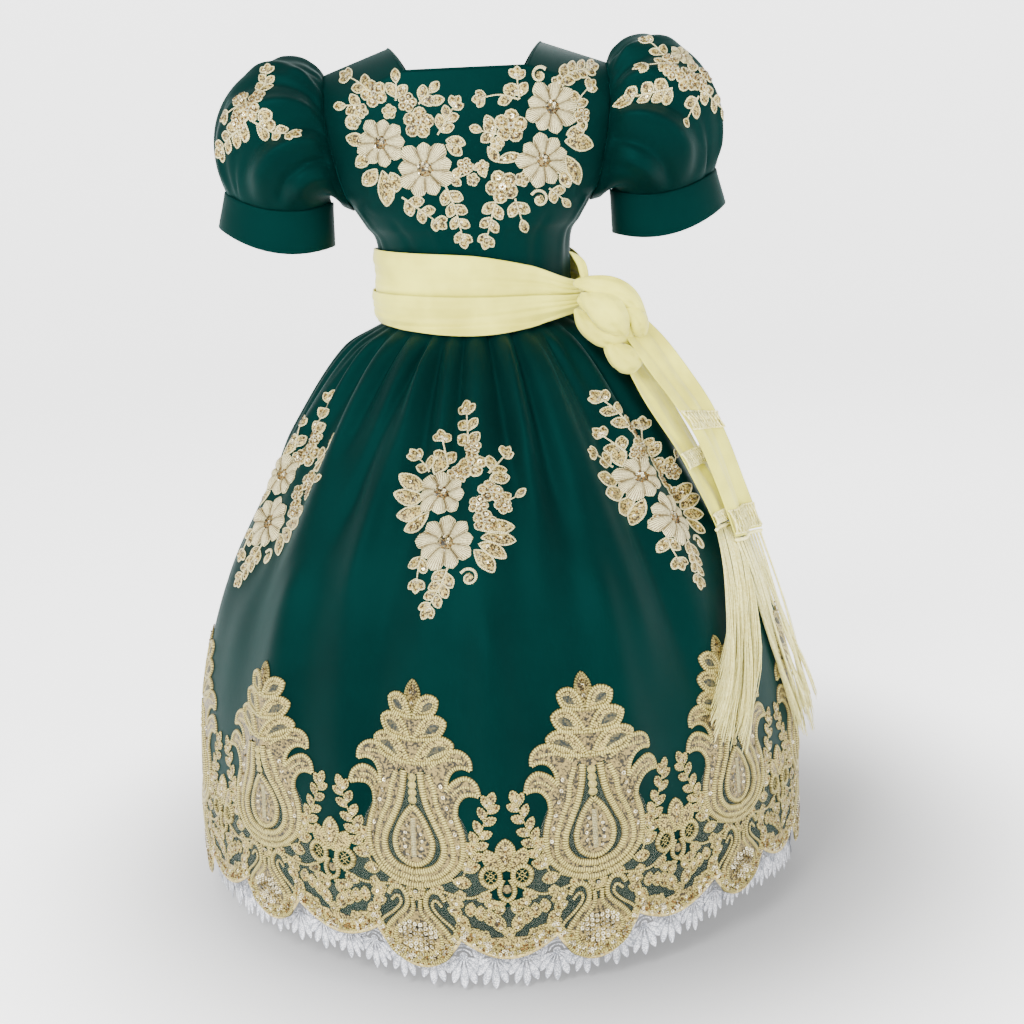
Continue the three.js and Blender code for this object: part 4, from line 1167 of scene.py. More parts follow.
class Patch:
    """A flat design's plane in front of a surface, from which it is pressed on to the cloth."""

    def __init__(self, surface: Surface, origin: Sequence[float], facing: Sequence[float],
                 guess: tuple[float, float], height: float) -> None:
        """Sets the plane up.

        Args:
            surface: The cloth.
            origin: The plane's middle in millimetres.
            facing: The way the plane looks.
            guess: Surface coordinates near the middle.
            height: How far the design's foot stands off the surface.
        """
        self.surface, self.origin, self.height = surface, np.array(origin, float), height
        normal = np.array(facing, float) / np.linalg.norm(facing)
        self.right = np.cross([0, 0, 1.0], normal)
        self.right /= np.linalg.norm(self.right)
        self.up = np.cross(normal, self.right)
        self.guess = guess

    def __call__(self, flat: Array) -> Array:
        """Real points of flat ones."""
        u = np.full(len(flat), float(self.guess[0]))
        v = np.full(len(flat), float(self.guess[1]))
        for share in (0.35, 0.6, 0.8, 1.0, 1.0, 1.0, 1.0):
            target = flat[:, :2] * share
            e = self._flat(u, v) - target
            step = 1e-3
            du = (self._flat(u + step, v) - self._flat(u - step, v)) / (2 * step)
            dv = (self._flat(u, v + step) - self._flat(u, v - step)) / (2 * step)
            det = du[:, 0] * dv[:, 1] - du[:, 1] * dv[:, 0]
            least = 0.3 * np.median(np.abs(det))
            det = np.where(det < 0, np.minimum(det, -least), np.maximum(det, least))
            u = u - (e[:, 0] * dv[:, 1] - e[:, 1] * dv[:, 0]) / det
            v = np.clip(v - (du[:, 0] * e[:, 1] - du[:, 1] * e[:, 0]) / det, self.surface.low, self.surface.high)
        return self.surface.off(u, v, self.height + flat[:, 2])

    def _flat(self, u: Array, v: Array) -> Array:
        """Plane coordinates of surface points."""
        p = self.surface.at(u, v) - self.origin
        return np.stack([p @ self.right, p @ self.up], 1)


# ---------------------------------------------------------------- pieces
def declare(obj: bpy.types.Object, nodes: Sequence[str]) -> bpy.types.Object:
    """Hides the CAD nodes that a piece stands in for.

    Args:
        obj: The piece.
        nodes: The CAD nodes it replaces.

    Returns:
        The piece.
    """
    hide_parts(*nodes)
    return obj


def tube(cloth: Cloth, path: Array, radius: float | Array, finish: Finish, sides: int = 6,
         closed: bool = False) -> None:
    """Adds a round tube along points in millimetres."""
    n = len(path)
    ahead = (np.roll(path, -1, 0) - np.roll(path, 1, 0)) if closed else np.gradient(path, axis=0)
    ahead = ahead / np.maximum(np.linalg.norm(ahead, axis=1, keepdims=True), 1e-9)
    helper = np.array([0.0, 0.0, 1.0])
    first = np.cross(ahead, helper)
    weak = np.linalg.norm(first, axis=1) < 0.2
    first[weak] = np.cross(ahead[weak], [0.0, 1.0, 0.0])
    first /= np.linalg.norm(first, axis=1, keepdims=True)
    for i in range(1, n):
        if first[i] @ first[i - 1] < 0:
            first[i] *= -1
    second = np.cross(ahead, first)
    radii = np.broadcast_to(np.asarray(radius, float), (n,))
    turn = np.radians(np.arange(sides) * 360 / sides)
    grid = path[:, None] + radii[:, None, None] * (
        np.cos(turn)[None, :, None] * first[:, None] + np.sin(turn)[None, :, None] * second[:, None])
    faces = []
    for i in range(n if closed else n - 1):
        a, b = i * sides, ((i + 1) % n) * sides
        faces += [(a + j, a + (j + 1) % sides, b + (j + 1) % sides, b + j) for j in range(sides)]
    if not closed:
        faces += [tuple(range(sides))[::-1], tuple((n - 1) * sides + j for j in range(sides))]
    cloth.add(grid, faces, finish)


@dataclass
class BodicePiece:
    """Bodice: a front panel with a square neck, two back panels, a bound neck edge and covered buttons."""

    half_wall: float = 0.4
    button_rows: tuple[float, ...] = (7, 5.6, 4.3, 3)
    button_radius: float = 5.0
    button_height: float = 3.2

    def stations(self) -> tuple[Array, Array]:
        """Columns and rows, with the neck's corner among them."""
        neck = Bodice.neck_half
        us = np.unique(np.concatenate([
            np.linspace(-1, -neck, 34), np.linspace(-neck, neck, 41), np.linspace(neck, 1, 34)]))
        top = Bodice.neck_row
        return us, np.concatenate([np.linspace(0, top, 61), np.linspace(top, top + Bodice.shoulder_rows, 22)[1:]])

    def panel(self, surface: Bodice, us: Array, name: str) -> bpy.types.Object:
        """Builds one panel."""
        _, vs = self.stations()
        u, v = mesh_grid(us, vs)
        keep = (np.abs((u[1:, 1:] + u[:-1, 1:]) / 2) > Bodice.neck_half) | (
            (v[1:, 1:] + v[1:, :-1]) / 2 < Bodice.neck_row)
        cloth = Cloth()
        cloth.grid(surface.at(u, v), Finish.GREEN, flip=surface.side < 0, keep=keep)
        return cloth.make(name, 2 * self.half_wall)

    def build(self) -> None:
        """Builds the panels, the neck's edge and the buttons."""
        us, _ = self.stations()
        front, back = Bodice(), Bodice(back=True)
        declare(self.panel(front, us, "satin_bodice_front"), ["bodice_front"])
        for name, half in (("left", us[us >= 0]), ("right", us[us <= 0])):
            half = np.where(np.abs(half) < 0.0012, 0.0012 * (1 if name == "left" else -1), half)
            declare(self.panel(back, half, f"satin_bodice_back_{name}"), [f"bodice_back_{name}"])
        binding = Cloth()
        neck, top, peak = Bodice.neck_half, Bodice.neck_row, Bodice.neck_row + Bodice.shoulder_rows
        for surface in (front, back):
            side = np.linspace(peak, top, 18)
            across = np.linspace(neck, -neck, 40)[1:-1]
            us_path = np.concatenate([np.full(18, neck), across, np.full(18, -neck)])
            vs_path = np.concatenate([side, np.full(38, float(top)), side[::-1]])
            tube(binding, surface.off(us_path, vs_path, 0.0), 1.25, Finish.GREEN)
        obj = binding.make("bound_neck_edge")
        for i, row in enumerate(self.button_rows):
            self.button(back, i + 1, row)

    def button(self, surface: Bodice, number: int, row: float) -> None:
        """Builds one covered button, a low dome with a turned-in rim."""
        at, normal = surface.framed(np.array([0.0012]), np.array([float(row)]))
        at, normal = at[0] + normal[0] * (LAID + 0.5), normal[0]
        at[0] = 0
        first = np.cross(normal, [1.0, 0, 0])
        first /= np.linalg.norm(first)
        second = np.cross(normal, first)
        radius, height = self.button_radius, self.button_height
        profile = [(0.0, 0.0), (0.82, 0.0), (0.97, 0.12), (1.0, 0.3), (0.93, 0.58), (0.75, 0.82), (0.45, 0.96),
            (0.0, 1.0)]
        turn = np.radians(np.arange(24) * 15)
        grid = np.array([[at + radius * r * (first * math.cos(a) + second * math.sin(a)) + normal * height * z
                          for r, z in profile] for a in turn])
        cloth = Cloth()
        cloth.grid(grid, Finish.BUTTON, wrapped=True)
        obj = cloth.make(f"covered_button_{number}")
        declare(obj, [f"button_{number}"])


@dataclass
class SleevePieces:
    """Two puff sleeves with their cuff bands."""

    columns: int = 224
    rows: int = 64

    def build(self) -> None:
        """Builds both sides."""
        for side, left in (("left", True), ("right", False)):
            surface, band = Sleeve(left), Cuff(left)
            u, v = mesh_grid(np.linspace(0, 360, self.columns + 1)[:-1], np.linspace(0.0, 1.03, self.rows))
            cloth = Cloth()
            cloth.grid(surface.at(u, v), Finish.GREEN, wrapped=True, flip=not left)
            declare(cloth.make(f"satin_sleeve_{side}", 0.8), [f"sleeve_{side}"])
            u, v = mesh_grid(np.linspace(0, 360, 145)[:-1], np.array([-0.05, 0.0, 0.12, 0.5, 0.84, 0.88, 0.97, 1.0]))
            bulge = np.array([0.5, 0.8, 0.5, 0.45, 0.55, 0.3, 0.6, 0.2])[None, :] * np.ones_like(u)
            cloth = Cloth()
            cloth.grid(band.off(u, v, bulge), Finish.GREEN, wrapped=True, flip=not left)
            declare(cloth.make(f"satin_cuff_{side}", 1.2), [f"cuff_{side}"])


@dataclass
class PetticoatPiece:
    """White underskirt in two panels, and the white lace along its hem."""

    columns: int = 180
    rows: int = 40
    fans: int = 34

    def fan(self) -> Motif:
        """One scallop of the lace: long fingers from one root, and a netted oval beside it."""
        motif = Motif()
        lace = Finish.LACE
        for y, radius in ((0.2, 0.9), (-3.2, 0.7)):
            motif.cord([(-13, y), (13, y)], radius, lace, step=6)
        for x in np.linspace(-11.5, 11.5, 7):
            motif.cord([(x - 1.6, -3), (x, 0), (x + 1.6, -3)], 0.5, lace, step=2)
        root = np.array([0.0, -15.0])
        for way, reach, half in ((-58, 17, 2.8), (58, 17, 2.8), (-37, 24, 3.2), (37, 24, 3.2), (-18, 30, 3.4),
                                 (18, 30, 3.4), (0, 33, 3.4)):
            turn = math.radians(way - 90)
            out = np.array([math.cos(turn), math.sin(turn)])
            motif.leaf(root + out * 3, root + out * reach, half, lace, None, bend=0.0012 * way, crown=1.6, full=1.7)
            motif.cord([root, root + out * 0.45 * reach], 1.0, lace, step=4, taper=0.7)
        motif.disc(root, 3.2, lace, 2.0)
        motif.cord([(-13, -20), (-9, -9), (0, -5.5), (9, -9), (13, -20)], 1.1, lace, step=3)
        motif.cord([(-7, -15), (-4.5, -10.5), (0, -9), (4.5, -10.5), (7, -15)], 0.8, lace, step=3)
        oval = np.array([13.0, -11.0])
        ring = [oval + (4.4 * math.cos(a), 6.6 * math.sin(a)) for a in np.radians(np.arange(12) * 30)]
        motif.cord(ring, 1.0, lace, closed=True, step=2.4)
        for offset in (-2.2, 0.0, 2.2):
            span = 6.6 * math.sqrt(1 - (offset / 4.4) ** 2)
            motif.cord([oval + (offset, -span), oval + (offset, span)], 0.38, lace, step=4)
            motif.cord([oval + (-3.8, 1.6 * offset), oval + (3.8, 1.6 * offset)], 0.38, lace, step=4)
        return motif

    def build(self) -> None:
        """Builds both halves."""
        surface, band = Petticoat(), LaceBand()
        for name, low, high in (("front", -89.94, 89.94), ("back", 90.06, 269.94)):
            u, v = mesh_grid(np.linspace(low, high, self.columns), np.linspace(0, 3, self.rows))
            wave = 0.8 * np.sin(np.radians(u * 46)) * (v / 3) + 0.6 * np.sin(np.radians(u * 17 + 40))
            cloth = Cloth()
            cloth.grid(surface.off(u, v, wave), Finish.LINING)
            declare(cloth.make(f"petticoat_cloth_{name}", 0.5), [f"petticoat_{name}"])
            lace = Cloth()
            fan = self.fan()
            width = (high - low) / self.fans
            half = width / 26 * 1.0
            for k in range(self.fans):
                middle = low + (k + 0.5) * width

                def place(flat: Array, middle: float = middle) -> Array:
                    """Lays a fan on the band."""
                    flutter = 3.2 * np.sin(np.radians(9 * middle + 4 * flat[:, 0])) * (
                        np.clip(-flat[:, 1] / 45, 0, 1) ** 1.5)
                    return band.off(middle + flat[:, 0] * half, LaceBand.top + flat[:, 1], flat[:, 2] * 0.7 + flutter)

                fan.lay(lace, place)
            obj = lace.make(f"white_lace_{name}")
            declare(obj, [f"lace_hem_{name}"])


@dataclass(frozen=True)
class SashRow:
    """Angle from centre front, top edge, fold between the wraps, bottom edge, and pull of the knot."""

    degrees: float
    top: float
    fold: float
    bottom: float
    pull: float


def along_table(table: Sequence[Any], key: str, by: str, at: Array) -> Array:
    """Reads a table's column at a value of another one, on straight lines."""
    xs, ys = column(table, by), column(table, key)
    if xs[0] > xs[-1]:
        xs, ys = xs[::-1], ys[::-1]
    return np.interp(at, xs, ys)


def waist_form(z: Array) -> tuple[Array, Array]:
    """Half width and half depth of what the sash lies on."""
    z = np.asarray(z, float)
    width = along_table(Skirt.table, "radius", "z", z) + along_table(Skirt.table, "gather", "z", z)
    depth = width * along_table(Skirt.table, "oval", "z", z)
    above = z > WAIST_Z
    width = np.where(above, along_table(Bodice.table, "end_x", "centre_z", z), width)
    depth = np.where(above, along_table(Bodice.table, "depth", "centre_z", z), depth)
    return width, depth


class Wrap(Surface):
    """One wrap of the sash: angle from centre front in degrees, share from its top (0) to its bottom (1)."""

    side = -1.0
    table = (
        SashRow(-180, -204, -238, -270, 0), SashRow(-90, -197, -241, -270, 0), SashRow(-40, -199, -243, -276, 0),
        SashRow(0, -204, -246, -281, 0), SashRow(32, -217, -248, -276, 3), SashRow(60, -235, -251, -266, 16),
        SashRow(82, -220, -246, -270, 8), SashRow(110, -206, -240, -270, 0), SashRow(180, -204, -238, -270, 0),
    )

    def __init__(self, upper: bool, offs: Sequence[float]) -> None:
        """Makes a wrap from how far each line across it stands off."""
        self.upper, self.offs = upper, np.array(offs, float)

    def read(self, angle: Array, key: str) -> Array:
        """Reads the sash's table at an angle, smoothly."""
        xs = column(self.table, "degrees")
        row = np.interp(signed(angle), xs, np.arange(len(xs)))
        return smooth(column(self.table, key), row)

    def at(self, u: Array, v: Array) -> Array:
        """Points of the wrap."""
        u, v = np.broadcast_arrays(np.asarray(u, float), np.asarray(v, float))
        top, fold, bottom = (self.read(u, key) for key in ("top", "fold", "bottom"))
        z = lerp(top, fold - 4, v) if self.upper else lerp(fold + 2, bottom, v)
        width, depth = waist_form(z)
        off = smooth(self.offs, v * (len(self.offs) - 1)) + np.maximum(0, self.read(u, "pull"))
        return np.stack([(width + off) * np.sin(np.radians(u)), -(depth + off) * np.cos(np.radians(u)), z], -1)


@dataclass(frozen=True)
class TailRow:
    """Left and right edge of a sash tail at one height."""

    left: tuple[float, float, float]
    right: tuple[float, float, float]


class Tail(Surface):
    """A hanging end of the sash: share across, share down."""

    side = -1.0

    def __init__(self, table: Sequence[TailRow], fold: float) -> None:
        """Makes a tail with one lengthwise fold of the given height."""
        self.left = np.array([row.left for row in table], float)
        self.right = np.array([row.right for row in table], float)
        self.fold = fold

    def at(self, u: Array, v: Array) -> Array:
        """Points of the tail."""
        u, v = np.broadcast_arrays(np.asarray(u, float), np.asarray(v, float))
        row = np.clip(v, 0, 1) * (len(self.left) - 1)
        sides = [np.stack([smooth(edge[:, k], row) for k in range(3)], -1) for edge in (self.left, self.right)]
        point = lerp(sides[0], sides[1], u[..., None])
        out = point * np.array([1.0, 1.0, 0.0])
        out /= np.linalg.norm(out, axis=-1, keepdims=True)
        crease = np.exp(-((u - 0.3 - 0.12 * v) / 0.09) ** 2) + 0.6 * np.exp(-((u - 0.78 + 0.1 * v) / 0.08) ** 2)
        return point + out * (self.fold * (np.sin(2 * np.pi * u) * v - 0.7 * crease))[..., None]


TAIL_FRONT = (
    TailRow((141, -80, -283), (166, -60, -272)), TailRow((152, -86, -300), (189, -56, -298)),
    TailRow((168, -90, -325), (213, -54, -332)), TailRow((190, -94, -357), (235, -53, -367)),
    TailRow((213, -102, -394), (250, -56, -400)), TailRow((231, -112, -441), (266, -57, -447)),
    TailRow((247, -123, -492), (284, -60, -499)),
)
TAIL_BACK = (
    TailRow((144, -84, -318), (163, -56, -318)), TailRow((162, -98, -354), (188, -61, -354)),
    TailRow((189, -113, -399), (213, -72, -399)), TailRow((211, -127, -441), (235, -79, -441)),
    TailRow((226, -137, -477), (252, -84, -479)),
)


@dataclass
class SashPiece:
    """Sash: two wraps round the waist, the knot, and two fringed tails."""

    locks: int = 14
    strands: int = 18

    def wraps(self) -> None:
        """Builds both wraps."""
        for name, upper, offs, length in (
            ("upper", True, (4.2, 5.8, 4.2, 5.6, 4.0), 0.60), ("lower", False, (8.4, 9.6, 8.4, 8.8, 5.5), 0.63),
        ):
            surface = Wrap(upper, offs)
            u, v = mesh_grid(np.linspace(0, 360, 261)[:-1], np.linspace(0, 1, 26))
            a = np.radians(u)
            fine = 0.5 * np.sin(v * 19 + 1.6 * np.sin(a + 0.5)) + 0.35 * np.sin(v * 31 + 2.2 * np.sin(2 * a))
            near = np.exp(-(signed(u - 62) / 30) ** 2)
            fine = (fine * (0.8 + 1.6 * near) + 2.2 * near * np.sin(v * 13 + 0.8)) * (
                np.sin(np.pi * np.clip(v, 0, 1)) ** 0.5)
            cloth = Cloth()
            cloth.grid(surface.off(u, v, fine), Finish.SASH, wrapped=True)
            declare(cloth.make(f"sash_cloth_{name}", 1.2), [f"sash_wrap_{name}"])

    def knot(self) -> None:
        """Builds the knot from rolled lengths of cloth."""
        cloth = Cloth()
        for path, widths, pleats in (
            # what fills the middle, the front lobe, the band over it, the crescent and the lobe under it, the loop
            ([(102, -62, -252), (122, -72, -264), (142, -74, -284), (152, -72, -304)], (10, 18, 18, 11), 3),
            ([(105, -76, -247), (114, -88, -253), (126, -92, -262), (138, -90, -274), (147, -82, -288)],
             (8, 14, 18, 16, 10), 2),
            ([(98, -68, -236), (114, -82, -237), (134, -84, -241), (152, -76, -253), (169, -62, -277)],
             (8, 10, 11, 11, 8), 2),
            ([(98, -74, -262), (107, -84, -275), (120, -89, -285), (134, -88, -290), (148, -80, -292)],
             (7, 11, 12, 11, 7), 2),
            ([(126, -82, -291), (133, -89, -302), (143, -89, -311), (154, -83, -315), (163, -74, -309)],
             (8, 12, 14, 12, 8), 2),
            ([(146, -82, -264), (156, -76, -272), (162, -70, -282), (166, -64, -292)], (8, 12, 13, 10), 2),
            ([(95, -58, -206), (100, -66, -210), (105, -72, -217), (108, -74, -228), (110, -74, -240)],
             (2, 4, 5, 5, 4), 1),
        ):
            line = flowing(path, 26)
            width = smooth(np.array(widths, float), np.linspace(0, len(widths) - 1, 26))
            self.roll(cloth, line, width, pleats)
        obj = cloth.make("sash_knot_rolls")
        declare(obj, ["sash_knot"])

    def roll(self, cloth: Cloth, line: Array, width: Array, pleats: int) -> None:
        """Adds one roll of pleated cloth along a line."""
        n, sides = len(line), 28
        ahead = np.gradient(line, axis=0)
        ahead /= np.linalg.norm(ahead, axis=1, keepdims=True)
        out = line - np.array([70.0, -30.0, 0.0])
        out[:, 2] = 0
        first = np.cross(ahead, out)
        first /= np.linalg.norm(first, axis=1, keepdims=True)
        second = np.cross(first, ahead)
        turn = np.radians(np.arange(sides) * 360 / sides)
        swirl = turn[None, :] + np.linspace(-0.5, 0.9, n)[:, None]
        ridge = 1.05 - 0.27 * np.exp(-(np.sin((pleats + 0.5) * swirl + 0.4) / 0.24) ** 2) + (
            0.04 * np.sin(3 * swirl + 0.8))
        ends = np.sin(np.pi * np.clip(np.linspace(0.02, 0.98, n), 0, 1))[:, None] ** 0.35
        w = width[:, None] * ridge * ends
        grid = line[:, None] + (w * np.cos(turn))[..., None] * first[:, None] + (
            (0.72 * w * np.sin(turn))[..., None] * second[:, None])
        faces = []
        for i in range(n - 1):
            a, b = i * sides, (i + 1) * sides
            faces += [(a + j, a + (j + 1) % sides, b + (j + 1) % sides, b + j) for j in range(sides)]
        faces += [tuple(range(sides))[::-1], tuple((n - 1) * sides + j for j in range(sides))]
        cloth.add(grid, faces, Finish.SASH)

    def tails(self) -> None:
        """Builds both tails with their fringes."""
        for name, table, fold, tips in (
            ("front", TAIL_FRONT, 4.0, ((300, -130, -700), (345, -50, -700), 12.0)),
            ("back", TAIL_BACK, -2.0, ((196, -253, -642), (236, -221, -668), 33.0)),
        ):
            surface = Tail(table, fold)
            u, v = mesh_grid(np.linspace(0, 1, 33), np.linspace(0, 1, 90))
            fine = 0.6 * np.sin(u * 11 + 3 * np.sin(v * 5)) + 0.5 * np.sin(v * 23 + 4 * u) * np.sin(np.pi * u)
            cloth = Cloth()
            cloth.grid(surface.off(u, v, fine), Finish.SASH)
            for low, high in ((0.55, 0.63), (0.91, 0.985)):
                self.openwork(cloth, surface, low, high)
            declare(cloth.make(f"sash_tail_cloth_{name}", 1.0), [f"sash_tail_{name}"])
            self.fringe(name, surface, *tips)

    def openwork(self, cloth: Cloth, surface: Tail, low: float, high: float) -> None:
        """Works one woven band across a tail: crossed threads between two hems."""
        teeth = 7
        k = np.arange(2 * teeth + 1)
        share = 0.02 + 0.96 * k / (2 * teeth)
        for phase in (0, 1):
            run = np.where((k + phase) % 2, low, high)
            tube(cloth, surface.off(share, run, 2.6), 0.9, Finish.FRINGE, sides=4)
        for edge in (low, high):
            line = np.linspace(0.0, 1.0, 20)
            tube(cloth, surface.off(line, np.full(20, edge), 1.8), 0.7, Finish.FRINGE, sides=4)
        # A darker sheet under the threads fills the band's holes with painted shade.
        u, v = mesh_grid(np.linspace(0.02, 0.98, 15), np.linspace(low, high, 4))
        cloth.grid(surface.off(u, v, 2.0), Finish.OPENWORK_SHADE)

    def fringe(self, name: str, surface: Tail, tip_left: Sequence[float], tip_right: Sequence[float],
               bulge: float) -> None:
        """Builds one fringe: strands in locks below a tail's end."""
        rng = random.Random(name)
        cloth = Cloth()
        strip = surface.at(np.linspace(0, 1, 30), np.ones(30)) - np.array([0, 0, 3.5])
        tube(cloth, strip, 2.0, Finish.FRINGE)
        left, right = np.array(tip_left, float), np.array(tip_right, float)
        for lock in range(self.locks):
            sway, turn, reach = rng.uniform(2.5, 7.0), rng.uniform(0, 6), 1 + 0.07 * math.sin(2.4 * lock) - 0.02
            for _ in range(self.strands):
                share = min(1.0, max(0.0, (lock + 0.5 + rng.uniform(-0.3, 0.3)) / self.locks))
                root = surface.at(np.array([share]), np.array([1.0]))[0] - np.array([0, 0, 4.0])
                tip_share = (lock + 0.5 + rng.uniform(-0.75, 0.75)) / self.locks
                tip = off_skirt(lerp(left, right, tip_share), 13.0 + rng.uniform(-4, 4))
                middle = off_skirt(lerp(root, tip, 0.5), bulge + rng.uniform(-2, 2))
                length = reach + rng.uniform(-0.08, 0.03)
                middle, tip = lerp(root, middle, length), lerp(root, tip, length)
                t = np.linspace(0, 1, 11)[:, None]
                path = (1 - t) ** 2 * root + 2 * t * (1 - t) * middle + t ** 2 * tip
                along = t[:, 0]
                path[:, 0] += along ** 1.3 * (
                    sway * np.sin(5 * along + turn) + 1.2 * np.sin(9 * along + rng.uniform(0, 2)))
                tube(cloth, path, np.linspace(0.5, 0.3, 11), Finish.FRINGE, sides=3)
        declare(cloth.make(f"silk_fringe_{name}"), [f"sash_fringe_{name}"])

    def build(self) -> None:
        """Builds the whole sash."""
        self.wraps()
        self.knot()
        self.tails()


def off_skirt(point: Array, gap: float) -> Array:
    """Moves a point out level, so that it stays off the skirt by a gap."""
    angle = math.degrees(math.atan2(point[0], -point[1]))
    z = point[2] - float(lift(np.array(angle), np.array(point[2])))
    least = float(along_table(Skirt.table, "radius", "z", np.array(z))) + gap
    reach = math.hypot(point[0], point[1])
    return point * np.array([max(1.0, least / reach)] * 2 + [1.0])


@dataclass
class SkirtPiece:
    """The gathered satin skirt: two panels, joined at the side seams."""

    surface: Skirt = field(default_factory=Skirt)
    columns: int = 300
    rows: int = 84
    half_wall: float = 0.35

    def build(self) -> None:
        """Builds both panels."""
        for name, low, high in (("front", -90.02, 90.02), ("back", 89.98, 270.02)):
            u, v = mesh_grid(np.linspace(low, high, self.columns),
                np.linspace(0, self.surface.hem_row + 0.04, self.rows))
            cloth = Cloth()
            cloth.grid(self.surface.at(u, v), Finish.GREEN)
            declare(cloth.make(f"satin_skirt_{name}", 2 * self.half_wall), [f"skirt_{name}"])


class BorderPlace:
    """Lays a flat design on the skirt's hem: x from a repeat's middle, y the height at rest."""

    def __init__(self, skirt: Skirt, centre: float, height: float = LAID) -> None:
        """Sets one repeat's middle, in degrees from centre front."""
        self.skirt, self.centre, self.height = skirt, centre, height

    def __call__(self, flat: Array) -> Array:
        """Real points of flat ones."""
        angle = self.centre + np.degrees(flat[:, 0] / HEM_RADIUS)
        return self.skirt.off(angle, self.skirt.row_at(flat[:, 1]), self.height + flat[:, 2])


@dataclass(frozen=True)
class Lobe:
    """A lobe of a palmette: height of its root, x and y of its tip, and its half width."""

    root: float
    x: float
    y: float
    half: float


@dataclass(frozen=True)
class Band:
    """A satin-stitched band: what it passes through, its half width, its thread and its taper."""

    points: tuple[tuple[float, float], ...]
    radius: float
    finish: Finish = Finish.CORD
    taper: float = 1.0


@dataclass(frozen=True)
class Ground:
    """Filled ground between two curves."""

    one: tuple[tuple[float, float], ...]
    two: tuple[tuple[float, float], ...]


@dataclass(frozen=True)
class Leaf:
    """A single leaf: its root, its tip and its half width."""

    x: float
    y: float
    tip_x: float
    tip_y: float
    half: float


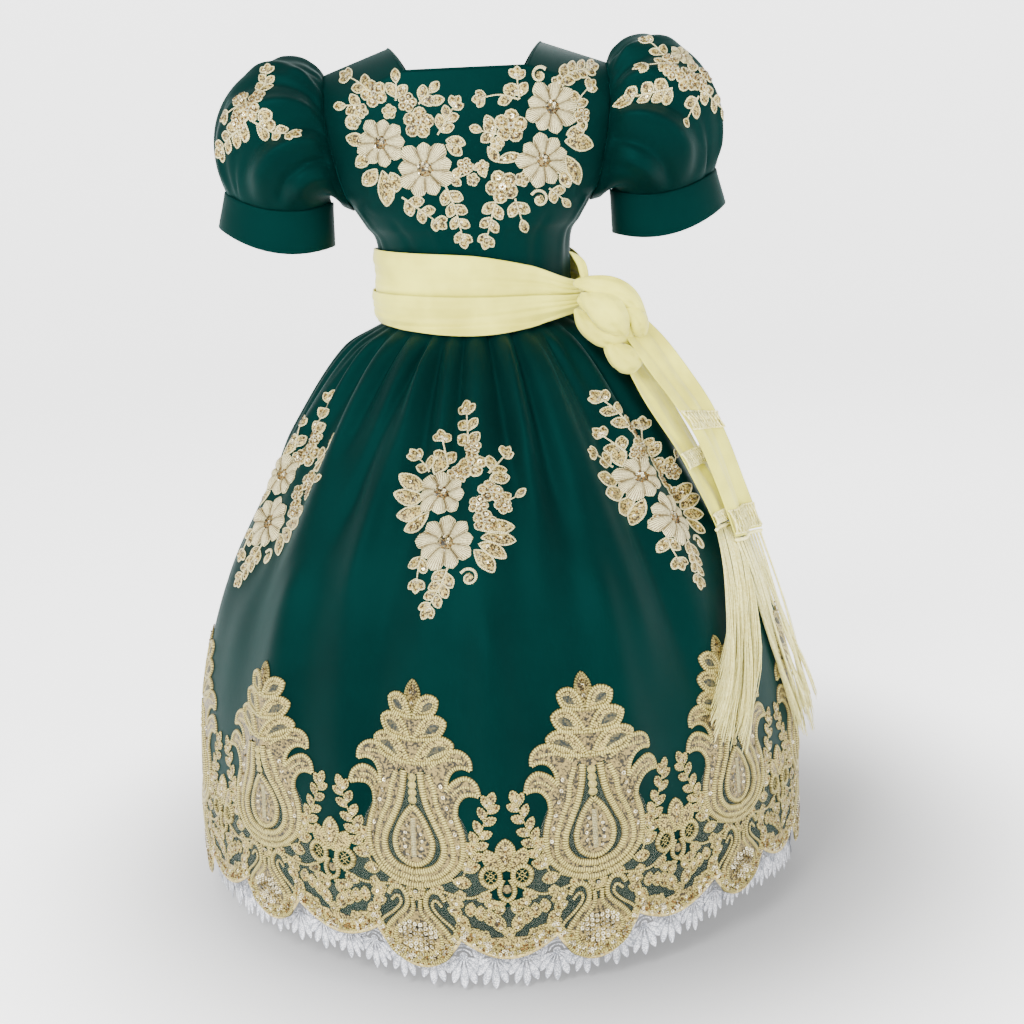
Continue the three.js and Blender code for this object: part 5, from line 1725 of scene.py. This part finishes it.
@dataclass
class BorderPiece:
    """Gold border lace: twelve palmettes over a scalloped, sequined edge on grey net."""

    repeats = 12
    pitch = 170.2

    lobes = (Lobe(-604, 25, -588, 8.5), Lobe(-624, 33, -607, 9.5), Lobe(-645, 40, -626, 10.5))
    bands = (
        # lyre, from the inner band outwards
        Band(((8, -652), (10, -668), (14, -684), (21, -700), (28, -716), (28, -731), (18, -744), (0, -749)), 3.6),
        Band(((16, -654), (21, -668), (24, -684), (32, -702), (37, -720), (36, -736), (23, -750), (0, -756)), 3.0),
        Band(((41, -692), (46, -708), (47, -723), (43, -739), (30, -752), (14, -760), (0, -762)), 3.2),
        # hooks
        Band(((10, -646), (22, -637), (36, -632), (48, -632), (56, -638), (57, -647)), 2.6, Finish.CORD, 0.8),
        Band(((57, -647), (49, -645), (40, -648), (34, -657), (33, -668)), 2.4),
        Band(((17, -648), (28, -641), (40, -639), (50, -640)), 1.8),
        Band(((33, -668), (42, -659), (53, -655), (61, -660), (64, -670)), 2.5),
        Band(((64, -670), (56, -669), (48, -672), (42, -681), (41, -692)), 2.6),
        Band(((38, -672), (47, -664), (56, -663)), 1.7),
        # teardrop and its middle
        Band(((0, -685), (7, -693), (14, -706), (18, -720), (15, -733), (7, -740), (0, -742)), 3.0),
        Band(((0, -696), (0, -734)), 2.8, Finish.RIM),
        # vase
        Band(((27, -775), (22, -767), (14, -767), (9, -775), (10, -786), (20, -798), (29, -810), (31, -823),
              (24, -835), (11, -841), (0, -842)), 2.7),
        Band(((24, -781), (18, -775), (15, -782), (22, -792), (34, -803), (37, -812)), 1.6),
        Band(((4, -776), (4, -789), (13, -801), (21, -811), (22, -821), (16, -830), (0, -834)), 2.3),
        Band(((2, -752), (10, -758), (24, -757), (36, -752)), 1.6),
    )
    grounds = (
        Ground(((8, -652), (21, -700), (28, -722), (18, -744), (0, -749)),
            ((33, -660), (42, -696), (47, -723), (36, -748), (0, -762))),
        Ground(((10, -646), (30, -634), (50, -632), (57, -645)), ((20, -664), (32, -660), (42, -648), (57, -647))),
        Ground(((33, -668), (46, -657), (58, -657), (64, -670)), ((38, -690), (44, -680), (52, -671), (64, -670))),
        Ground(((0, -688), (0, -742)), ((4, -690), (18, -718), (8, -740))),
        Ground(((0, -786), (0, -842)), ((10, -786), (31, -818), (10, -841))),
    )
    leaves = (
        # x and y of a leaf's root and tip, and its half width
        Leaf(46, -726, 60, -716, 4.5), Leaf(45, -742, 60, -738, 4.5), Leaf(36, -754, 52, -756, 4.5),
        Leaf(14, -766, 26, -762, 4), Leaf(52, -775, 50, -788, 4), Leaf(60, -778, 60, -792, 4.2),
        Leaf(67, -781, 69, -797, 4.4), Leaf(73, -786, 79, -804, 4.6), Leaf(58, -772, 70, -766, 3.8),
        Leaf(64, -776, 78, -777, 3.6), Leaf(30, -782, 42, -786, 4), Leaf(36, -790, 48, -796, 4),
    )

    def palmette(self) -> Motif:
        """Half of a palmette and its vase, right of their middle."""
        m = Motif()
        m.leaf((0, -600), (0, -571), 7.5, Finish.FILL, Finish.CORD, cord=1.5, crown=2.0, beads=1.2)
        m.sheet(((0, -592), (0, -656)), ((6, -594), (22, -622), (12, -650)), Finish.SHADE, 0.2)
        for lobe in self.lobes:
            root, tip = np.array([2.0, lobe.root]), np.array([lobe.x, lobe.y])
            m.leaf(root, tip, lobe.half, Finish.FILL, Finish.CORD, bend=0.06, cord=2.3, crown=0.7, full=1.45)
            m.leaf(lerp(root, tip, 0.3), lerp(root, tip, 0.86), 0.56 * lobe.half, Finish.SLIT, Finish.CORD,
                   bend=0.06, cord=1.0, crown=1.2, full=1.3)
            m.cord([lerp(root, tip, 0.42), lerp(root, tip, 0.74)], 0.7)
            m.cord([root + (-2, 3), lerp(root, tip, 0.3) + (-1.5, 2.5), lerp(root, tip, 0.5) + (-2.5, 3.5)], 1.3)
        for ground in self.grounds:
            m.sheet(ground.one, ground.two)
        for band in self.bands:
            m.cord(band.points, band.radius, band.finish, taper=band.taper, rise=0.6)
        for y in (-658, -665, -672, -679):
            m.disc((0, y), 4.2, Finish.CORD, 2.6)
        for x, y in ((28, -664), (30, -674), (33, -684), (37, -696), (40, -708), (42, -720)):
            m.sequin((x, y), 1.9, 0.8, x)
        for x, y in ((5.5, -704), (7.5, -711), (8.5, -718), (8, -725), (6, -732)):
            m.sequin((x, y), 1.6, 0.8, x)
        for x in (2.5, 7.5, 12.5, 17):
            for y in range(-828, -798, 5):
                if math.hypot(x, y + 816) < 18:
                    m.sequin((x, y + 0.4 * x), 2.0, 1.2, x + y)
        return m

    def side_sprays(self) -> Motif:
        """Half of the leaf sprays beside a palmette, and of what lies under them."""
        m = Motif()
        m.sprig([(44, -752), (55, -728), (65, -702), (73, -678)], 6, 14.5, 4.0, edge=Finish.CORD, shrink=0.85,
            cord=0.85)
        m.cord([(20, -764), (36, -768), (52, -770), (66, -764), (76, -758)], 1.4)
        for leaf in self.leaves:
            m.leaf((leaf.x, leaf.y), (leaf.tip_x, leaf.tip_y), 1.2 * leaf.half, Finish.FILL, Finish.CORD, cord=1.0,
                   beads=1.1)
        for x, y, radius in ((38, -776, 6.5), (34, -772, 5), (43, -800, 7), (53, -806, 6), (62, -808, 5.5),
                (42, -768, 5)):
            m.blossom((x, y), radius, 5, 9 * x, edge=Finish.CORD, cord=0.8)
        return m

    def between(self) -> Motif:
        """The rosette over a vase, and the bud between two palmettes."""
        m = Motif()
        m.blossom((0, -768), 9, 7, 12, edge=Finish.CORD, cord=0.9)
        x = self.pitch / 2
        m.leaf((x, -742), (x, -711), 8.0, Finish.FILL, Finish.CORD, cord=1.7, crown=1.8, beads=1.1, full=1.3)
        half = Motif()
        half.leaf((x + 2, -743), (x + 17, -722), 7, Finish.FILL, Finish.CORD, bend=-0.1, cord=1.5, full=1.3)
        middle = np.array([x + 14.5, -749.0])
        ring = [middle + (8.6 * math.cos(a), 9.6 * math.sin(a)) for a in np.radians(np.arange(14) * 360 / 14)]
        half.cord(ring, 2.7, closed=True)
        for k in (-3.5, 0.0, 3.5):
            half.cord([middle + (-5 + abs(k) / 2, k - 3), middle + (5 - abs(k) / 2, k + 3)], 0.4, step=5)
            half.cord([middle + (-5 + abs(k) / 2, k + 3), middle + (5 - abs(k) / 2, k - 3)], 0.4, step=5)
        half.cord([(x + 3, -752), (x + 7, -762), (x + 5, -770), (x, -773)], 2.4)
        half.leaf((x + 3, -780), (x + 12, -786), 3.2, Finish.FILL, Finish.CORD, cord=0.9, beads=0.9)
        half.leaf((x + 2, -776), (x + 14, -777), 3.0, Finish.FILL, Finish.CORD, cord=0.9)
        m.take(half, half.mirrored(x))
        m.disc((x, -762), 4.5, Finish.SHADE, 0.8)
        m.blossom((x, -806), 6.0, 5, 18, edge=Finish.CORD, cord=0.8)
        return m

    def edge(self) -> Motif:
        """The dense beaded band along one repeat's scallops, and its smooth rim."""
        m = Motif()
        rng = random.Random(3)
        half = self.pitch / 2
        xs = np.linspace(-half, half, 72)
        low = self.scallop(xs)
        m.cord(np.stack([xs, low + 1.6], 1), 2.0, Finish.TRIM, flow=False, rise=0.5)
        m.sheet(np.stack([xs, low + 2.5], 1), np.stack([xs, np.maximum(low + 15, -810)], 1), Finish.FILL, 0.6, 60)
        m.cord(np.stack([xs, low + 15], 1)[::2], 1.0, Finish.CORD)
        for x in np.arange(-half + 1.4, half, 2.9):
            for k in range(4):
                at = (x + rng.uniform(-0.9, 0.9), float(self.scallop(np.array([x]))[0]) + 4.6 + 3.1 * k
                    + rng.uniform(-0.9, 0.9))
                if rng.random() < 0.4:
                    m.sequin(at, 1.8, 0.9, rng.uniform(0, 6))
                else:
                    m.bead(at, 1.35, Finish.BEAD if rng.random() < 0.3 else Finish.CORD, 0.8)
        return m

    @classmethod
    def scallop(cls, x: Array) -> Array:
        """Height of the scalloped edge at x from a palmette's middle: a deep vase scallop, then a shallow one."""
        share = np.abs((np.asarray(x, float) + cls.pitch / 2) % cls.pitch - cls.pitch / 2)
        deep = -847 + 34 * (share / 40) ** 2.2
        shallow = -813 - 19 * np.sin(np.pi / 2 * np.clip((share - 40) / 45.1, 0, 1)) ** 0.9
        return np.where(share < 40, deep, shallow)

    def ground(self, cloth: Cloth, place: Place) -> None:
        """Lays the grey net behind one repeat."""
        xs = np.linspace(-self.pitch / 2, self.pitch / 2, 44)
        low = self.scallop(xs)
        high = np.interp(np.abs(xs), [0, 30, 52, 62, 74, 85], [-640, -662, -704, -745, -776, -780])
        share = np.linspace(0, 1, 16)
        y = low[:, None] + (high - low)[:, None] * share[None, :]
        flat = np.stack([np.repeat(xs, 16), y.ravel(), np.full(44 * 16, -0.15)], 1)
        cloth.grid(place(flat).reshape(44, 16, 3), Finish.NET, uv=(flat[:, :2] * MM).reshape(44, 16, 2))

    def build(self) -> None:
        """Builds both halves."""
        skirt = Skirt()
        half = Motif().take(self.palmette(), self.side_sprays())
        whole = Motif().take(half, half.mirrored(), self.between(), self.edge())
        for name, low in (("front", -90.0), ("back", 90.0)):
            cloth = Cloth()
            for k in range(self.repeats // 2):
                place = BorderPlace(skirt, low + 15 + 30 * k)
                self.ground(cloth, place)
                whole.lay(cloth, place)
            declare(cloth.make(f"gold_border_{name}"), [f"hem_border_{name}"])


@dataclass(frozen=True)
class Sprig:
    """A leafy stem: what it passes through, pairs of leaves, and the length of its first leaves."""

    path: tuple[tuple[float, float], ...]
    pairs: int
    length: float


@dataclass(frozen=True)
class Bloom:
    """A flower or a curl: its middle, its radius and its turn in degrees."""

    x: float
    y: float
    radius: float
    turn: float


@dataclass
class SprayPieces:
    """Gold flower appliques on the skirt, the bodice and the sleeves."""

    def fill(self, sprigs: Sequence[Sprig], leaves: Sequence[Leaf], roses: Sequence[Bloom], blossoms: Sequence[Bloom],
             curls: Sequence[Bloom]) -> Motif:
        """Makes one spray from its tables; the big flowers lie on top."""
        m = Motif()
        for sprig in sprigs:
            m.sprig(sprig.path, sprig.pairs, 1.18 * sprig.length, 0.39 * sprig.length)
        for leaf in leaves:
            m.leaf((leaf.x, leaf.y), (leaf.tip_x, leaf.tip_y), leaf.half, Finish.FILL, Finish.RIM, bend=0.05,
                cord=0.85, beads=1.1)
        for curl in curls:
            m.curl((curl.x, curl.y), curl.radius, curl.turn, -420 if curl.turn > 100 else 420, 1.5, Finish.RIM)
            m.disc((curl.x, curl.y), 0.5 * curl.radius, Finish.FILL, 0.8)
        for bloom in blossoms:
            m.blossom((bloom.x, bloom.y), bloom.radius, 5, bloom.turn)
        for rose in roses:
            m.rosette((rose.x, rose.y), rose.radius, 8 + int(rose.radius) % 2, rose.turn)
        return m

    def skirt_spray(self) -> Motif:
        """A skirt spray: flowers in the middle, leafy ends up and down, leaves at the sides."""
        return self.fill(
            (Sprig(((14, 54), (12, 76), (9, 98)), 3, 14), Sprig(((-6, 40), (-9, 54), (-12, 66)), 2, 12),
             Sprig(((-22, 34), (-28, 44), (-36, 52)), 2, 12), Sprig(((34, 32), (40, 44), (46, 56)), 2, 12),
             Sprig(((-22, -48), (-26, -60), (-27, -74)), 2, 13), Sprig(((2, -60), (-4, -80), (-14, -100)), 4, 13),
             Sprig(((38, 8), (50, 8), (60, 14)), 1, 12)),
            (Leaf(-26, 20, -52, 33, 8), Leaf(-26, 10, -56, 14, 8), Leaf(-24, 0, -52, -8, 7.5),
             Leaf(-20, -8, -44, -22, 7), Leaf(30, -26, 60, -18, 7), Leaf(32, -34, 62, -32, 6.5),
             Leaf(26, -46, 44, -66, 7), Leaf(30, -40, 54, -50, 6.5),
             Leaf(-16, 30, -8, 50, 6), Leaf(12, 24, 4, 44, 6), Leaf(36, 26, 52, 34, 6)),
            (Bloom(-10, 12, 22, 0), Bloom(-2, -38, 27, 10)),
            (Bloom(18, 40, 14, 90), Bloom(18, 58, 8, 20), Bloom(37, 14, 11, 30), Bloom(27, -1, 9, 70),
             Bloom(34, -17, 11, 10),
             Bloom(49, 2, 8, 50), Bloom(2, 34, 8, 30), Bloom(-22, -34, 8, 0)),
            (Bloom(22, -72, 9, 150),))

    def bodice_right(self) -> Motif:
        """The spray on the wearer's right, in the bodice's own x and z."""
        return self.fill(
            (Sprig(((-94, -42), (-106, -32), (-115, -27)), 2, 12), Sprig(((-69, -52), (-68, -42), (-68, -34)), 1, 13),
             Sprig(((-47, -56), (-39, -49), (-35, -45)), 1, 13), Sprig(((-30, -86), (-22, -74), (-13, -60)), 3, 12),
             Sprig(((-102, -56), (-112, -54), (-120, -54)), 1, 12),
             Sprig(((-68, -144), (-52, -156), (-36, -168)), 3, 13),
             Sprig(((-26, -132), (-17, -156), (-11, -184)), 4, 13),
             Sprig(((-24, -128), (-8, -126), (4, -120)), 1, 10)),
            (Leaf(-100, -88, -120, -84, 6), Leaf(-98, -100, -112, -112, 6), Leaf(-92, -116, -106, -130, 7),
             Leaf(-86, -118, -84, -152, 8), Leaf(-78, -120, -73, -138, 7), Leaf(-22, -92, -4, -96, 5),
             Leaf(-22, -96, -8, -106, 5),
             Leaf(-38, -56, -22, -53, 4.5)),
            (Bloom(-86, -91, 23, 0), Bloom(-44, -118, 27, 12)),
            (Bloom(-90, -44, 13, 40), Bloom(-58, -54, 9, 0), Bloom(-48, -74, 15, 10), Bloom(-112, -70, 7, 0),
             Bloom(-5, -117, 8, 70),
             Bloom(-76, -62, 7, 20), Bloom(-104, -60, 7, 60), Bloom(2, -130, 6, 0)),
            (Bloom(-113, -71, 8, 40),))

    def bodice_left(self) -> Motif:
        """The spray on the wearer's left, which is arranged otherwise."""
        return self.fill(
            (Sprig(((88, -42), (104, -33), (122, -29)), 4, 12), Sprig(((51, -56), (50, -44), (50, -36)), 2, 12),
             Sprig(((50, -56), (32, -51), (16, -53)), 2, 12), Sprig(((28, -88), (18, -86), (12, -84)), 1, 12),
             Sprig(((104, -68), (112, -56), (120, -48)), 2, 11), Sprig(((24, -148), (18, -168), (13, -186)), 3, 13),
             Sprig(((42, -150), (45, -162), (48, -172)), 1, 13), Sprig(((76, -142), (86, -150), (90, -154)), 1, 11)),
            (Leaf(26, -86, 18, -70, 5), Leaf(94, -98, 122, -104, 8), Leaf(94, -112, 106, -140, 7),
             Leaf(96, -92, 113, -90, 6),
             Leaf(88, -126, 96, -142, 6), Leaf(18, -100, 26, -114, 4.5), Leaf(26, -114, 50, -110, 4.5),
             Leaf(14, -128, 10, -114, 4.5)),
            (Bloom(82, -65, 25, 0), Bloom(71, -115, 25, 16)),
            (Bloom(41, -81, 16, 10), Bloom(27, -97, 7, 0), Bloom(30, -138, 16, 40), Bloom(112, -74, 8, 30),
             Bloom(50, -132, 7, 0),
             Bloom(12, -118, 6, 20), Bloom(90, -42, 7, 0)),
            (Bloom(66, -152, 9, 150), Bloom(72, -34, 8, 40), Bloom(110, -84, 8, 150)))

    def sleeve_spray(self, left: bool) -> Motif:
        """The leaf sprays over a sleeve."""
        if left:
            return self.fill(
                (Sprig(((-14, -6), (-30, -4), (-46, 0)), 3, 12), Sprig(((-8, 18), (-20, 20), (-32, 22)), 2, 11),
                 Sprig(((-6, 30), (-10, 42), (-14, 52)), 2, 11), Sprig(((14, -16), (6, -26), (0, -34)), 1, 12),
                 Sprig(((14, -8), (30, -18), (48, -26)), 3, 11)),
                (Leaf(-16, -6, -22, -18, 4.5), Leaf(2, 24, 12, 36, 5), Leaf(10, 8, 24, 20, 5)),
                (Bloom(14, 30, 13, 0),), (Bloom(2, 0, 12, 15), Bloom(-12, 10, 9, 40), Bloom(16, -4, 9, 0),
                 Bloom(-4, 26, 8, 20), Bloom(30, 6, 9, 0)), ())
        return self.fill(
            (Sprig(((6, -16), (-10, -28), (-34, -40)), 4, 12), Sprig(((8, -20), (24, -25), (42, -26)), 3, 12),
             Sprig(((8, 8), (8, 24), (6, 36)), 3, 11), Sprig(((2, -6), (-12, -6), (-24, -12)), 2, 11)),
            (Leaf(14, -18, 26, -10, 5), Leaf(-2, -22, -4, -36, 5)),
            (), (Bloom(4, -10, 11, 15), Bloom(8, 4, 9, 40), Bloom(-8, -20, 8, 0), Bloom(-12, 4, 9, 30)), ())

    def build(self) -> None:
        """Builds every spray."""
        skirt = Skirt()
        spray = self.skirt_spray()
        for i, degrees in enumerate((-66, -9, 46, 109, 171, 233)):
            at, normal = skirt.framed(np.array([float(degrees)]), np.array([3.8]))
            aside = skirt.framed(np.array([degrees + 4.0]), np.array([4.4]))[1][0]
            patch = Patch(skirt, at[0], (normal[0] + aside), (degrees, 3.8), LAID)
            self.lay(spray, patch, f"gold_skirt_spray_{i + 1}", f"skirt_spray_{i + 1}")
        patch = Patch(Bodice(), (0, -70, 0), (0, -1, 0), (0.0, 5.0), LAID)
        self.lay(self.bodice_right(), patch, "gold_bodice_spray_right", "bodice_spray_right")
        self.lay(self.bodice_left(), patch, "gold_bodice_spray_left", "bodice_spray_left")
        for name, left in (("left", True), ("right", False)):
            sign = 1 if left else -1
            patch = Patch(Sleeve(left), (sign * 212, -42, -48), (sign * 0.42, -0.74, 0.52), (50.0, 0.5), LAID)
            self.lay(self.sleeve_spray(left), patch, f"gold_sleeve_spray_{name}", f"sleeve_spray_{name}")

    @staticmethod
    def lay(motif: Motif, patch: Patch, name: str, node: str) -> None:
        cloth = Cloth()
        motif.lay(cloth, patch)
        declare(cloth.make(name), [node])


@dataclass
class Studio:
    """Camera, floor, backdrop and light."""

    lens: float = 57.19
    height: float = -0.0808
    distance: float = 1.7
    tilt: float = 0.2328
    yaw: float = 0.0152
    roll: float = 0.0475
    floor_z: float = -0.8695
    sky: float = 1.2            # strength of the even light from all round
    far: float = 50.0           # how far the camera sees, in metres

    def camera(self) -> None:
        """Sets the camera up."""
        data = bpy.data.cameras.new("camera")
        data.lens, data.sensor_width = self.lens, 36.0
        data.clip_end = self.far
        obj = bpy.data.objects.new("camera", data)
        right = Vector((math.cos(self.yaw), -math.sin(self.yaw), 0))
        ahead = Vector((math.sin(self.yaw), math.cos(self.yaw), 0))
        up_z = Vector((0, 0, 1))
        forward = ahead * math.cos(self.tilt) - up_z * math.sin(self.tilt)
        up = ahead * math.sin(self.tilt) + up_z * math.cos(self.tilt)
        side = right * math.cos(self.roll) - up * math.sin(self.roll)
        top = right * math.sin(self.roll) + up * math.cos(self.roll)
        turn = Matrix((side, top, -forward)).transposed().to_4x4()
        obj.matrix_world = Matrix.Translation((0, -self.distance, self.height)) @ turn
        bpy.context.scene.collection.objects.link(obj)
        bpy.context.scene.camera = obj

    def backdrop(self) -> None:
        """Makes the floor, which sweeps up into the wall on every side."""
        cloth = Cloth()
        radii = np.concatenate([np.linspace(0.01, 5.0, 8), 5.0 + 2.5 * np.sin(np.linspace(0.2, math.pi / 2, 8))])
        rises = np.concatenate([np.zeros(8), 2.5 - 2.5 * np.cos(np.linspace(0.2, math.pi / 2, 8))])
        turn = np.radians(np.linspace(0, 360, 49)[:-1])
        grid = np.stack([
            np.outer(np.sin(turn), radii), np.outer(-np.cos(turn), radii),
            np.tile(rises + self.floor_z, (48, 1))], -1) / MM
        cloth.grid(grid, Finish.FLOOR, wrapped=True)
        mesh = bpy.data.meshes.new("floor")
        mesh.from_pydata((np.concatenate(cloth.points) * MM).tolist(), [], cloth.faces)
        mesh.polygons.foreach_set("use_smooth", [True] * len(cloth.faces))
        mesh.materials.append(material(Finish.FLOOR))
        obj = bpy.data.objects.new("floor", mesh)
        bpy.context.scene.collection.objects.link(obj)

    def light(self, name: str, place: Sequence[float], target: Sequence[float], size: float, power: float) -> None:
        """Adds one soft area light.

        Args:
            name: The light's name.
            place: Where it stands, in metres.
            target: What it points at.
            size: Its width.
            power: Its power in watts.
        """
        data = bpy.data.lights.new(name, "AREA")
        data.shape, data.size, data.energy = "DISK", size, power
        obj = bpy.data.objects.new(name, data)
        obj.location = place
        obj.rotation_euler = (Vector(target) - Vector(place)).to_track_quat("-Z", "Y").to_euler()
        bpy.context.scene.collection.objects.link(obj)

    def build(self) -> None:
        """Builds the studio."""
        self.camera()
        self.backdrop()
        world = bpy.data.worlds.new("studio")
        world.use_nodes = True
        background = world.node_tree.nodes["Background"]
        background.inputs[0].default_value = (1.0, 1.0, 1.0, 1.0)
        background.inputs[1].default_value = self.sky
        bpy.context.scene.world = world
        middle = (0.0, 0.0, -0.4)
        self.light("key", (-1.3, -2.4, 1.7), middle, 1.2, 190.0)
        self.light("fill", (1.8, -1.8, 0.6), middle, 2.0, 36.0)
        self.light("rim", (0.6, 2.0, 1.4), middle, 1.6, 30.0)


def main() -> None:
    """Builds the studio and the dress, piece by piece."""
    logging.basicConfig(level=logging.INFO, format="%(name)s %(message)s")
    random.seed(7)
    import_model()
    Studio().build()
    pieces = (BodicePiece(), SleevePieces(), SkirtPiece(), PetticoatPiece(), BorderPiece(), SprayPieces(), SashPiece())
    for piece in pieces:
        log.info("making %s", type(piece).__name__)
        piece.build()


if __name__ == "__main__":
    main()
